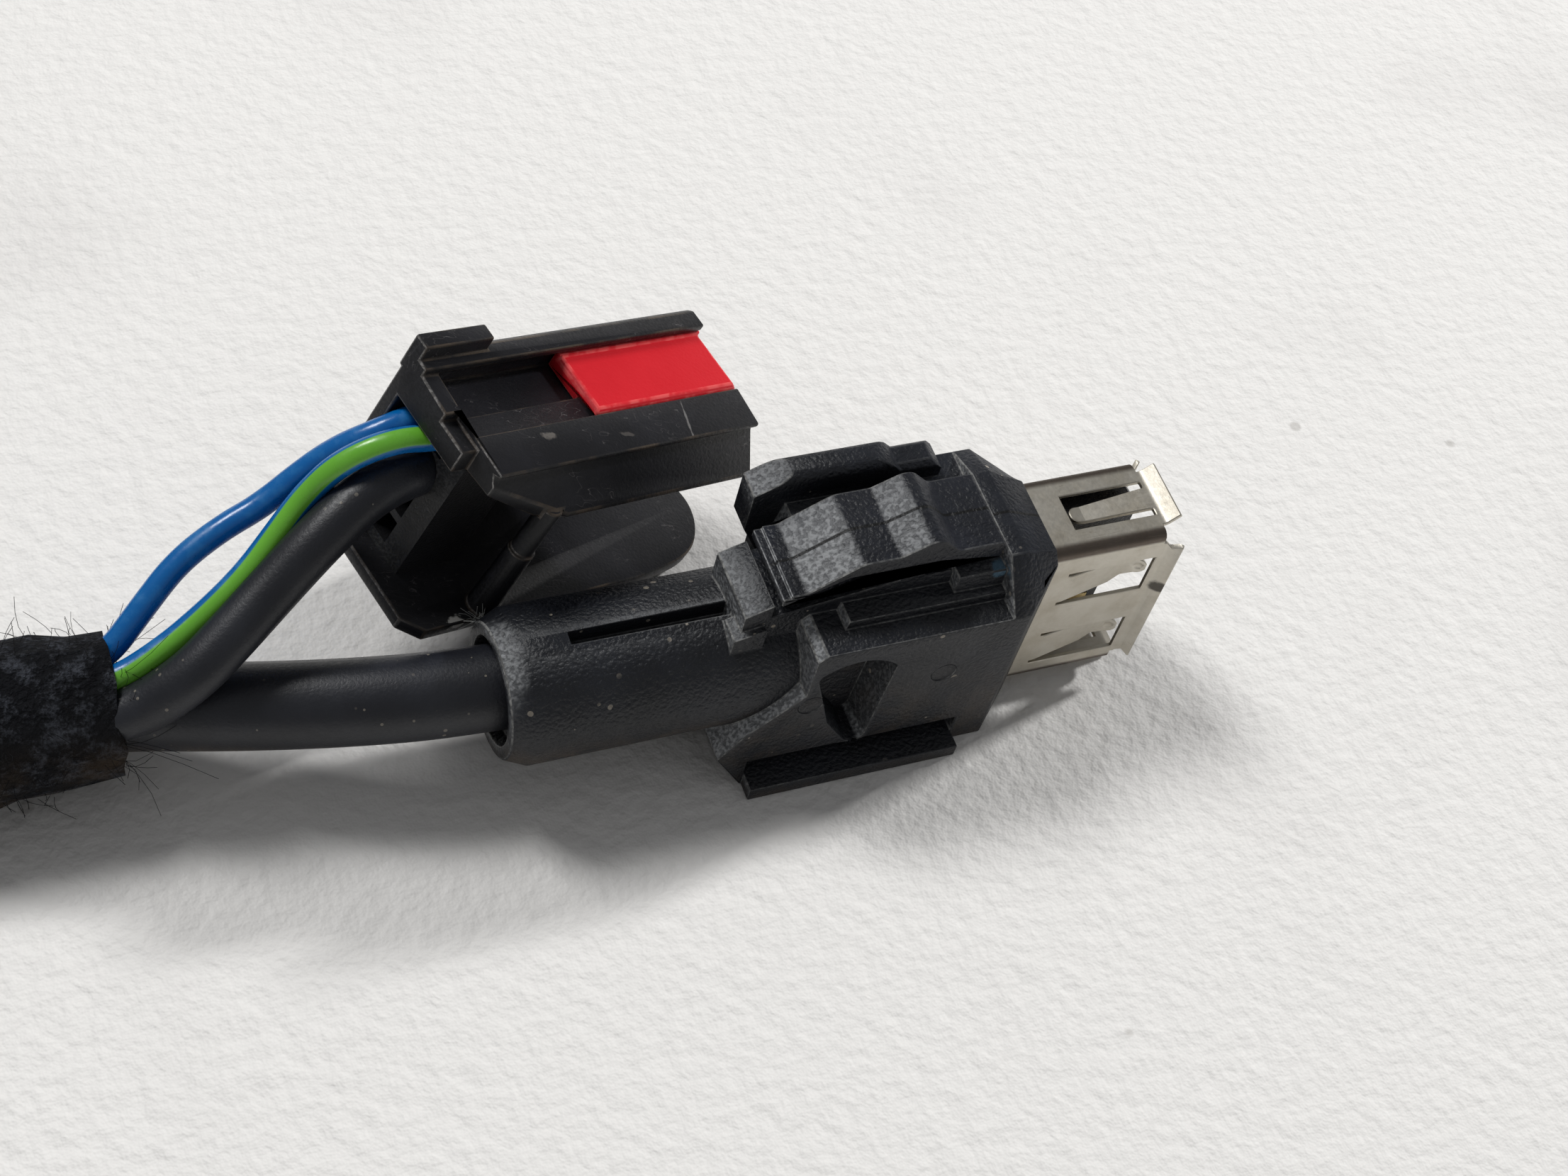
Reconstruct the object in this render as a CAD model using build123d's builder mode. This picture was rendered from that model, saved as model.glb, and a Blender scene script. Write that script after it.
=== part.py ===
import os
from math import cos, radians, sin, tan, pi

from build123d import *

os.makedirs("parts", exist_ok=True)

# Car USB cable harness. +X is the way the USB plug leaves the socket, +Z is the latch side and +Y
# points away from the taped bundle's near side. The origin is the centre of the USB socket's mouth.

# USB standard-A socket
mouth_height = 12.5
mouth_width = 5.12
shell_sheet = 0.3
shell_reach = 8.6
shell_depth = 14.8
shell_corner = 0.55
lip_length = 1.1
lip_flare = 0.65
tongue_thickness = 1.84
tongue_end_gap = 0.7
tongue_offset = 0.15
tongue_setback = 1.3
insulator_base = 2.4
contact_width = 1.0
contact_thickness = 0.25
contact_proud = 0.08
contact_places = (-3.5, -1.0, 1.0, 3.5)
contact_front = 2.2
contact_tail = 1.6
finger_front = 1.2
finger_back = 7.1
finger_window = 3.2
finger_slot = 0.28
finger_places = (-3.5, 2.7)
finger_waist = 3.6
finger_waist_drop = 0.85
finger_nose = 2.2
finger_nose_radius = 0.65
finger_dimple = 0.5

# USB socket housing
sole_drop = 0.95
housing_front_taper = 2.4
housing_half_width = 5.5
housing_back = 24.4
ledge_drop = 1.65
shelf_half_width = 3.9
shelf_drop = 1.05
shelf_back = 22.7
deck_drop = 0.05
bulkhead_rise = 1.35
bulkhead_back = 12.1
foot_thickness = 1.0
foot_reach = 1.2
foot_front = 13.2
foot_back = 26.9
recess_height = 1.4
recess_depth = 1.4
pocket_depth = 2.4
guard_rise = 2.65
guard_step_rise = 1.85
guard_front = 13.6
guard_step = 18.2
guard_back = 25.6
guard_thickness = 1.9
stop_front = 26.3
stop_back = 28.0
stop_drop = 0.25
stop_half_width = 2.4

# Boot behind the housing
boot_radius = 4.6
boot_level = -0.5
boot_end = 41.6
boot_chamfer = 0.6
groove_width = 0.8
groove_depth = 1.1
groove_start = 28.0
groove_end = 37.6

# Latch lever
lever_half_width = 2.6
lever_gap = 0.35
lever_back = 26.0
pivot_back = 17.8
pivot_radius = 0.8
pivot_clearance = 0.06

# Module connector, in its own frame: x along its nose, y away from the viewer, z up out of its top
module_origin = (-22.64, 13.61, 5.89)
module_nose = (0.89488, 0.28196, -0.34595)
module_up = (0.35781, 0.01004, 0.93374)
module_length = 22.2
module_wall = 0.9
module_far = 5.9
module_height = 12.8
channel_far = 4.7
channel_keel = 1.65
channel_depth = 1.1
channel_step = 0.5
channel_end = 21.0
band_reach = 2.65
band_drop = 0.4
band_start = 20.9
skirt_reach = 4.2
skirt_drop = 3.2
ridge_height = 0.7
base_near = 4.4
base_nose = 4.0
pillar_radius = 0.7
pillar_foot_radius = 0.95
pillar_foot_height = 5.2
pillar_place = (-16.3, -3.6)
slide_length = 11.8
slide_clearance = 0.06
slide_bevel = 0.25
block_back = 20.6
block_front = 16.0
block_near = -0.3
wire_cavity = 1.7

# Cords
usb_cable_diameter = 5.0
thin_cable_diameter = 3.0
wire_diameter = 1.5
bundle_diameter = 9.8
tape_tip_diameter = 8.2
coil_pitch = 10.2
coil_middle_radius = 52.5
coil_centre = (-126.6, 62.4)
tie_width = 4.6
tie_thickness = 0.9

# Far connector, in its own frame: x along the way its plug leaves, z up
far_length = 32.0
far_width = 16.0
far_height = 12.0
far_wall = 1.2
far_cavity_depth = 9.0
nose_wall = 0.35
nose_roof = 0.25
nose_corner = 0.6
near_finger_press = 0.55
far_finger_press = 0.25
side_finger_back = 6.7
side_finger_window = 2.5
side_finger_root_width = 1.56
side_finger_tip_width = 1.1
side_finger_press = 0.4
lip_corner = 0.55
tongue_lead = 0.3
insulator_clearance = 0.02
shell_clearance = 0.02
far_block_rise = 0.45
bulkhead_half_width = 3.0
sole_back = 27.0
heel_back = 29.0
heel_level = -4.2
waist_back = 27.5
waist_level = -2.0
shoulder_level = 1.0
deck_rear_drop = 1.35
stop_fall = 0.7
guard_proud = 0.4
guard_fall = 1.2
guard_rounding = 0.7
guard_chamfer = 0.35
guard_front_radius = 1.6
gusset_back = 28.6
gusset_front = 26.6
gusset_level = 4.7
gusset_fall = 0.5
gusset_near = 2.9
gusset_far = 1.2
cover_back = 15.2
ledge_chamfer = 0.5
boot_taper = 1.3
boot_mouth_radius = 3.2
boot_mouth_depth = 0.9
pocket_draft = 6
pocket_corners = ((-19.2, 2.3), (-19.7, -4.9), (-20.5, -4.8), (-22.1, -2.4), (-23.7, 2.5))
pocket_crown = (-20.9, 3.3)
pocket_rounding = 0.35
ejector_places = ((-23.9, -0.1), (-15.5, 0.5))
ejector_radius = 0.8
ejector_depth = 0.1
cable_bore_depth = 6.0
hump_front = 15.4
hump_crest = 16.9
hump_back = 19.2
hump_rise = 3.7
pad_rise = 2.55
pad_back = 21.5
tail_rise = 0.45
tail_land = 0.5
tail_step_rise = 0.2
tail_step = 0.9
blade_under_rise = 1.45
ramp_under = 25.0
ramp_foot = 22.2
block_half_width = 1.7
block_lean = 0.5
blade_seat = 0.2
step_radius = 0.08
wave_radius = 1.1
valley_radius = 0.7
edge_radius = 0.3
tail_under_drop = 0.15
lever_under_rise = 0.05
arm_under_rise = 0.75
arm_rise = 2.15
band_level = -0.1
plate_under = 2.2
skirt_edge = 0.3
band_undercut = 0.4
band_edge = 0.3
undercut_level = -0.85
skirt_top_level = -1.2
near_step_back = 21.1
near_step_far = 1.7
near_step_drop = 0.6
base_rear_chamfer = 1.2
skirt_cut_front = 15.3
block_column_near = 2.3
block_column_far = 4.1
wire_row = -3.0
cable_row = -5.5
cable_column = 2.4
spare_rows = (-8.1, -10.3)
wire_depth = 3.0
cable_depth = 3.5
terminal_width = 1.3
terminal_length = 1.2
ferrule_length = 0.8
ferrule_wall = 0.4
rear_block_front = 17.2
rear_block_near = 5.0
rear_block_far = 6.1
rear_block_level = 1.7
tape_length = 2.6
far_gate_height = 1.4
far_gate_length = 5.0
far_gate_width = 6.0
far_back_wall = 2.5
far_insert_columns = 6
far_insert_rows = 2
far_contact_pitch = 2.1
far_contact_row_pitch = 4.2
far_contact_size = 1.2
far_contact_length = 4.0
tie_angle = 200
tie_head_height = 3.0
tie_head_length = 6.0

# Values that follow from the sizes above
shell_width = mouth_width + 2 * shell_sheet
shell_height = mouth_height + 2 * shell_sheet
shell_top = shell_height / 2
tongue_height = mouth_height - 2 * tongue_end_gap
wide_wall = (mouth_width + shell_sheet) / 2
narrow_wall = (mouth_height + shell_sheet) / 2
body_front = shell_reach + housing_front_taper
nose_half_width = shell_width / 2 + nose_wall
nose_bottom = -shell_top - nose_wall
nose_top = shell_top + nose_roof
table_level = -shell_top - sole_drop
ledge_level = shell_top - ledge_drop
shelf_level = shell_top - shelf_drop
deck_level = shell_top - deck_drop
deck_rear_level = shell_top - deck_rear_drop
far_block_level = shell_top + far_block_rise
bulkhead_level = shell_top + bulkhead_rise
guard_level = shell_top + guard_rise
guard_step_level = shell_top + guard_step_rise
stop_level = shell_top - stop_drop
lever_under = shell_top + lever_under_rise
arm_under = shell_top + arm_under_rise
arm_level = shell_top + arm_rise
hump_level = shell_top + hump_rise
pad_level = shell_top + pad_rise
tail_level = shell_top + tail_rise
tail_under = shell_top - tail_under_drop
blade_under = shell_top + blade_under_rise
notch_reach = ((pivot_radius + pivot_clearance) ** 2 - (lever_under - deck_level) ** 2) ** 0.5
bundle_level = table_level + bundle_diameter / 2
contact_near = tongue_offset - contact_proud
contact_far = contact_near + contact_thickness
lever_front = bulkhead_back + lever_gap
far_block_near = lever_half_width + lever_gap
cable_seat = boot_end - cable_bore_depth
finger_top = finger_window / 2 - finger_slot
side_finger_nose = side_finger_back - finger_slot - side_finger_tip_width / 2

# Stamped USB shell: a folded tube with flared lips and sprung fingers cut out of its walls
with BuildPart() as usb_shell:
    with BuildSketch(Plane.YZ.offset(-shell_depth)):
        RectangleRounded(shell_width, shell_height, shell_corner)
        RectangleRounded(mouth_width, mouth_height, shell_corner - shell_sheet, mode=Mode.SUBTRACT)
    extrude(amount=shell_depth - lip_length)
    with BuildSketch(Plane.XZ):
        with Locations(*[(-(finger_front + finger_back) / 2, place) for place in finger_places]):
            Rectangle(finger_back - finger_front, finger_window)
    extrude(amount=shell_width, both=True, mode=Mode.SUBTRACT)
    with BuildSketch(Plane.XY):
        with Locations((-(finger_front + side_finger_back) / 2, 0)):
            Rectangle(side_finger_back - finger_front, side_finger_window)
    extrude(amount=shell_height, both=True, mode=Mode.SUBTRACT)
    for side, press in ((-1, near_finger_press), (1, far_finger_press)):
        for place in finger_places:
            with BuildSketch(Plane.XY.offset(place)):
                with BuildLine():
                    FilletPolyline(
                        (-finger_back - shell_sheet, side * wide_wall),
                        (-finger_back + shell_sheet, side * wide_wall),
                        (-finger_nose - finger_nose_radius, side * (wide_wall - press)),
                        (-finger_nose + finger_nose_radius, side * wide_wall),
                        radius=shell_sheet,
                    )
                trace(line_width=shell_sheet)
            extrude(amount=finger_top, both=True)
        with BuildSketch(Plane.XZ):
            with BuildLine():
                FilletPolyline(
                    (-finger_front + shell_sheet, side * narrow_wall),
                    (-finger_front - shell_sheet, side * narrow_wall),
                    (-side_finger_nose + shell_sheet, side * (narrow_wall - side_finger_press)),
                    (-side_finger_back + finger_slot, side * (narrow_wall - shell_sheet)),
                    radius=shell_sheet,
                )
            trace(line_width=shell_sheet)
        extrude(amount=side_finger_root_width / 2, both=True)
        with BuildSketch(Plane.XY):
            with BuildLine():
                FilletPolyline(
                    (-lip_length - shell_sheet, side * wide_wall),
                    (-lip_length + shell_sheet, side * wide_wall),
                    (0, side * (wide_wall + lip_flare)),
                    radius=lip_flare,
                )
            trace(line_width=shell_sheet)
        extrude(amount=mouth_height / 2 - shell_corner, both=True)
        with BuildSketch(Plane.XZ):
            with BuildLine():
                FilletPolyline(
                    (-lip_length - shell_sheet, side * narrow_wall),
                    (-lip_length + shell_sheet, side * narrow_wall),
                    (0, side * (narrow_wall + lip_flare)),
                    radius=lip_flare,
                )
            trace(line_width=shell_sheet)
        extrude(amount=mouth_width / 2 - shell_corner, both=True)
    # Each finger tapers to a rounded tip with a dimple that bears on the plug
    for place in finger_places:
        with BuildSketch(Plane.XZ):
            with Locations((-(finger_front + finger_back) / 2, place)):
                Rectangle(finger_back - finger_front, finger_window)
            with BuildLine():
                Polyline(
                    (-finger_nose, place + finger_top - 2 * finger_nose_radius),
                    (-finger_waist, place - finger_waist_drop),
                    (-finger_back, place - finger_top),
                    (-finger_back, place + finger_top),
                    (-finger_nose, place + finger_top),
                )
                ThreePointArc(
                    (-finger_nose, place + finger_top),
                    (-finger_nose + finger_nose_radius, place + finger_top - finger_nose_radius),
                    (-finger_nose, place + finger_top - 2 * finger_nose_radius),
                )
            make_face(mode=Mode.SUBTRACT)
        extrude(amount=shell_width, both=True, mode=Mode.SUBTRACT)
        for side in (-1, 1):
            dimple_level = place + finger_top - finger_nose_radius
            with Locations((-finger_nose, side * (wide_wall + shell_sheet), dimple_level)):
                Sphere(finger_dimple, mode=Mode.SUBTRACT)
    with BuildSketch(Plane.XY):
        with Locations((-(finger_front + side_finger_back) / 2, 0)):
            Rectangle(side_finger_back - finger_front, side_finger_window)
        with BuildLine():
            Polyline(
                (-side_finger_nose, -side_finger_tip_width / 2),
                (-finger_front, -side_finger_root_width / 2),
                (-finger_front, side_finger_root_width / 2),
                (-side_finger_nose, side_finger_tip_width / 2),
            )
            ThreePointArc(
                (-side_finger_nose, side_finger_tip_width / 2),
                (-side_finger_nose - side_finger_tip_width / 2, 0),
                (-side_finger_nose, -side_finger_tip_width / 2),
            )
        make_face(mode=Mode.SUBTRACT)
    extrude(amount=shell_height, both=True, mode=Mode.SUBTRACT)
    # Corners clipped off the lips
    with BuildSketch(Plane.XZ):
        with GridLocations(2 * lip_corner, mouth_height - 2 * shell_corner, 2, 2):
            Rectangle(lip_corner, lip_corner, rotation=45)
    extrude(amount=shell_width, both=True, mode=Mode.SUBTRACT)
usb_shell.part.label = "usb_shell"
export_step(usb_shell.part, "parts/usb_shell.step")

# Insulator: a block that closes the back of the shell and carries the contact tongue
with BuildPart() as usb_insulator:
    with BuildSketch(Plane.YZ.offset(-shell_depth)):
        RectangleRounded(
            mouth_width - 2 * insulator_clearance,
            mouth_height - 2 * insulator_clearance,
            shell_corner - shell_sheet,
        )
    extrude(amount=insulator_base)
    with BuildSketch(Plane.YZ.offset(-shell_depth)):
        with Locations((tongue_offset + tongue_thickness / 2, 0)):
            Rectangle(tongue_thickness, tongue_height)
    extrude(amount=shell_depth - tongue_setback)
    tongue_end = usb_insulator.faces().sort_by(Axis.X)[-1]
    chamfer(tongue_end.edges(), length=tongue_lead)
    with BuildSketch(Plane.XZ.offset(-contact_far)):
        with Locations(*[(-(shell_depth + contact_front) / 2, place) for place in contact_places]):
            Rectangle(shell_depth - contact_front, contact_width)
    extrude(amount=contact_thickness, mode=Mode.SUBTRACT)
usb_insulator.part.label = "usb_insulator"
export_step(usb_insulator.part, "parts/usb_insulator.step")

# Four flat contacts let into the tongue, their tails run out behind the insulator
for number, place in enumerate(contact_places, start=1):
    with BuildPart() as usb_contact:
        with BuildSketch(Plane.XZ.offset(-contact_far)):
            with Locations((-(shell_depth + contact_tail + contact_front) / 2, place)):
                Rectangle(shell_depth + contact_tail - contact_front, contact_width)
        extrude(amount=contact_thickness)
        front_edges = usb_contact.faces().sort_by(Axis.X)[-1].edges().filter_by(Axis.Z)
        chamfer(front_edges.sort_by(Axis.Y)[0], length=contact_proud)
    usb_contact.part.label = f"usb_contact_{number}"
    export_step(usb_contact.part, f"parts/usb_contact_{number}.step")

# Rounded wall that guards the lever's far side, part of the housing's moulding
with BuildPart() as lever_guard:
    with BuildSketch(Plane.XZ.offset(-housing_half_width - guard_proud)):
        with BuildLine():
            Polyline(
                (-guard_step, guard_level),
                (-guard_back + 2 * guard_fall, guard_level),
                (-guard_back, guard_level - guard_fall),
                (-guard_back, ledge_level),
                (-housing_back, ledge_level - pocket_depth),
                (-guard_front, ledge_level - pocket_depth),
                (-guard_front, guard_step_level - guard_rounding),
                (-guard_front - guard_rounding, guard_step_level),
                (-guard_step + guard_front_radius, guard_step_level),
            )
            ThreePointArc(
                (-guard_step + guard_front_radius, guard_step_level),
                (-guard_step + guard_front_radius * 0.7, (guard_level + guard_step_level) / 2),
                (-guard_step, guard_level),
            )
        make_face()
    extrude(amount=guard_thickness)
    fillet(lever_guard.edges().filter_by(Axis.X).group_by(Axis.Z)[-1], radius=guard_rounding)
    step_ridges = lever_guard.edges().filter_by(Axis.X).filter_by_position(
        Axis.Z, guard_step_level - guard_chamfer, guard_step_level + guard_chamfer
    )
    chamfer(step_ridges, length=guard_chamfer)

# Housing of the USB socket, moulded in one with its cable boot
with BuildPart() as usb_housing:
    with BuildSketch(Plane.XZ):
        with BuildLine():
            Polyline(
                (-body_front, table_level),
                (-sole_back, table_level),
                (-heel_back, heel_level),
                (-waist_back, waist_level),
                (-housing_back, shoulder_level),
                (-housing_back, ledge_level - ledge_chamfer),
                (-housing_back + ledge_chamfer, ledge_level),
                (-body_front, ledge_level),
                close=True,
            )
        make_face()
    extrude(amount=housing_half_width, both=True)
    with BuildSketch(Plane.YZ.offset(-body_front)) as nose_root:
        with BuildLine():
            Polyline(
                (-housing_half_width, table_level),
                (housing_half_width, table_level),
                (housing_half_width, far_block_level),
                (bulkhead_half_width, bulkhead_level),
                (-bulkhead_half_width, bulkhead_level),
                (-housing_half_width, ledge_level),
                close=True,
            )
        make_face()
    with BuildSketch(Plane.YZ.offset(-shell_reach)):
        with BuildLine():
            Polyline(
                (-nose_half_width, nose_bottom),
                (nose_half_width, nose_bottom),
                (nose_half_width, nose_top - nose_corner),
                (nose_half_width - nose_corner, nose_top),
                (-nose_half_width + nose_corner, nose_top),
                (-nose_half_width, nose_top - nose_corner),
                close=True,
            )
        make_face()
    loft(ruled=True)
    extrude(nose_root.sketch, amount=body_front - bulkhead_back)
    with BuildSketch(Plane.XY.offset(ledge_level)):
        with Locations((-(body_front + cover_back) / 2, 0)):
            Rectangle(cover_back - body_front, 2 * nose_half_width)
    extrude(amount=nose_top - ledge_level)
    # Shelf on the near side of the lever, block on its far side
    with BuildSketch(Plane.XZ.offset(shelf_half_width)):
        with BuildLine():
            Polyline(
                (-body_front, ledge_level - pocket_depth),
                (-body_front, shelf_level),
                (-shelf_back + shelf_level - ledge_level, shelf_level),
                (-shelf_back, ledge_level - pocket_depth),
                close=True,
            )
        make_face()
    extrude(amount=-2 * shelf_half_width)
    with BuildSketch(Plane.XZ.offset(-housing_half_width)):
        with BuildLine():
            Polyline(
                (-body_front, ledge_level - pocket_depth),
                (-body_front, far_block_level),
                (-guard_back + far_block_level - ledge_level, far_block_level),
                (-housing_back, ledge_level - pocket_depth),
                close=True,
            )
        make_face()
    extrude(amount=housing_half_width - far_block_near)
    # Spine under the lever: its deck, the ridge that the lever rocks on and the stop behind it
    with BuildSketch(Plane.XZ):
        with BuildLine():
            Polyline(
                (-pivot_back - pivot_radius, deck_level),
                (-stop_front, deck_rear_level),
                (-stop_front, stop_level),
                (-stop_back, stop_level - stop_fall),
                (-stop_back, boot_level + boot_radius - groove_depth),
                (-housing_back, ledge_level - pocket_depth),
                (-body_front, ledge_level - pocket_depth),
                (-body_front, deck_level),
                (-pivot_back + pivot_radius, deck_level),
            )
            ThreePointArc(
                (-pivot_back + pivot_radius, deck_level),
                (-pivot_back, deck_level + pivot_radius),
                (-pivot_back - pivot_radius, deck_level),
            )
        make_face()
    extrude(amount=stop_half_width, both=True)
    # Gusset between the stop and the boot
    with BuildSketch(Plane.XZ.offset(gusset_far)):
        with BuildLine():
            Polyline(
                (-gusset_front, boot_level),
                (-gusset_front, gusset_level),
                (-gusset_back, gusset_level - gusset_fall),
                (-gusset_back, boot_level),
                close=True,
            )
        make_face()
    extrude(amount=gusset_near - gusset_far)
    # Guard along the far side of the lever
    add(lever_guard.part)
    # Boot
    with BuildSketch(Plane.XZ):
        with BuildLine():
            Polyline(
                (-housing_back + boot_chamfer, boot_level),
                (-housing_back + boot_chamfer, boot_level + boot_radius),
                (-boot_end + boot_taper, boot_level + boot_radius),
                (-boot_end, boot_level + boot_radius - boot_chamfer),
                (-boot_end, boot_level),
                close=True,
            )
        make_face()
    revolve(axis=Axis((0, 0, boot_level), (1, 0, 0)))
    # Foot flanges with an undercut above them
    with BuildSketch(Plane.XY.offset(table_level)):
        with Locations((-(foot_front + foot_back) / 2, 0)):
            Rectangle(foot_back - foot_front, 2 * (housing_half_width + foot_reach))
    extrude(amount=foot_thickness)
    with BuildSketch(Plane.XY.offset(table_level + foot_thickness)):
        for side in (-1, 1):
            with Locations((-(foot_front + foot_back) / 2, side * housing_half_width)):
                Rectangle(foot_back - foot_front, 2 * recess_depth)
    extrude(amount=recess_height, mode=Mode.SUBTRACT)
    # Pocket moulded into each side, with the marks of two ejector pins
    for side in (-1, 1):
        with BuildSketch(Plane.XZ.offset(-side * (housing_half_width - pocket_depth))) as pocket:
            with BuildLine():
                Polyline(*pocket_corners)
                ThreePointArc(pocket_corners[-1], pocket_crown, pocket_corners[0])
            make_face()
            fillet(pocket.vertices(), radius=pocket_rounding)
        extrude(amount=-side * (pocket_depth + guard_proud), taper=-pocket_draft, mode=Mode.SUBTRACT)
        with BuildSketch(Plane.XZ.offset(-side * (housing_half_width - ejector_depth))):
            with Locations(*ejector_places):
                Circle(ejector_radius)
        extrude(amount=-side * (ejector_depth + guard_proud), mode=Mode.SUBTRACT)
    # Groove along the top of the boot
    with BuildSketch(Plane.XY.offset(boot_level + boot_radius)):
        with Locations((-(groove_start + groove_end) / 2, -groove_width / 2)):
            Rectangle(groove_end - groove_start, groove_width)
    extrude(amount=-groove_depth, mode=Mode.SUBTRACT)
    # Seat of the shell, room for the contact tails and bore of the cable
    with BuildSketch(Plane.YZ.offset(-shell_depth)):
        RectangleRounded(
            shell_width + 2 * shell_clearance,
            shell_height + 2 * shell_clearance,
            shell_corner + shell_clearance,
        )
    extrude(amount=shell_depth, mode=Mode.SUBTRACT)
    with BuildSketch(Plane.YZ.offset(-shell_depth - contact_tail)):
        with Locations(*[((contact_near + contact_far) / 2, place) for place in contact_places]):
            Rectangle(contact_thickness + 2 * shell_clearance, contact_width + 2 * shell_clearance)
    extrude(amount=contact_tail, mode=Mode.SUBTRACT)
    with BuildSketch(Plane.YZ.offset(-boot_end)):
        with Locations((0, boot_level)):
            Circle(usb_cable_diameter / 2)
    extrude(amount=cable_bore_depth, mode=Mode.SUBTRACT)
    with BuildSketch(Plane.YZ.offset(-boot_end)):
        with Locations((0, boot_level)):
            Circle(boot_mouth_radius)
    extrude(amount=boot_mouth_depth, mode=Mode.SUBTRACT)
usb_housing.part.label = "usb_housing"
export_step(usb_housing.part, "parts/usb_housing.step")

# Latch lever: a wave-shaped blade with a block under it that rocks on the housing's ridge
with BuildPart() as usb_latch:
    with BuildSketch(Plane.XZ):
        with BuildLine():
            FilletPolyline(
                (-lever_front, arm_under),
                (-lever_front, arm_level),
                (-hump_front, arm_level),
                (-hump_crest, hump_level),
                (-hump_back, pad_level),
                (-pad_back, pad_level),
                (-lever_back + tail_land + tail_step, tail_level + tail_step_rise),
                (-lever_back + tail_land, tail_level + tail_step_rise),
                (-lever_back + tail_land, tail_level),
                (-lever_back, tail_level),
                (-lever_back, tail_under),
                (-ramp_under, tail_under),
                (-ramp_foot, blade_under),
                (-hump_front - 2 * block_lean, blade_under),
                (-hump_front, arm_under),
                close=True,
                radius=(
                    step_radius,
                    edge_radius,
                    valley_radius,
                    wave_radius,
                    valley_radius,
                    wave_radius,
                    valley_radius,
                    step_radius,
                    step_radius,
                    step_radius,
                    step_radius,
                    valley_radius,
                    valley_radius,
                    edge_radius,
                    edge_radius,
                ),
            )
        make_face()
    extrude(amount=lever_half_width, both=True)
    with BuildSketch(Plane.XZ):
        with BuildLine():
            Polyline(
                (-pivot_back - notch_reach, lever_under),
                (-pivot_back - 2 * pivot_radius, lever_under),
                (-pivot_back - 2 * pivot_radius - block_lean, blade_under + blade_seat),
                (-pivot_back + 2 * pivot_radius + block_lean, blade_under + blade_seat),
                (-pivot_back + 2 * pivot_radius, lever_under),
                (-pivot_back + notch_reach, lever_under),
            )
            ThreePointArc(
                (-pivot_back + notch_reach, lever_under),
                (-pivot_back, deck_level + pivot_radius + pivot_clearance),
                (-pivot_back - notch_reach, lever_under),
            )
        make_face()
    extrude(amount=block_half_width, both=True)
usb_latch.part.label = "usb_latch"
export_step(usb_latch.part, "parts/usb_latch.step")

# Module connector: an open C-shaped moulding, held nose down beside the boot
module_frame = Plane(origin=module_origin, x_dir=module_nose, z_dir=module_up)
module_inner = module_far - module_wall
base_top = -module_height + module_wall


def on_module(local):
    """Place a plane given in the module connector's own frame."""
    return Plane(module_frame.location * local.location)


def module_point(x, y, z):
    """World position of a point given in the module connector's own frame."""
    return tuple(module_frame.from_local_coords(Vector(x, y, z)))


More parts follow.
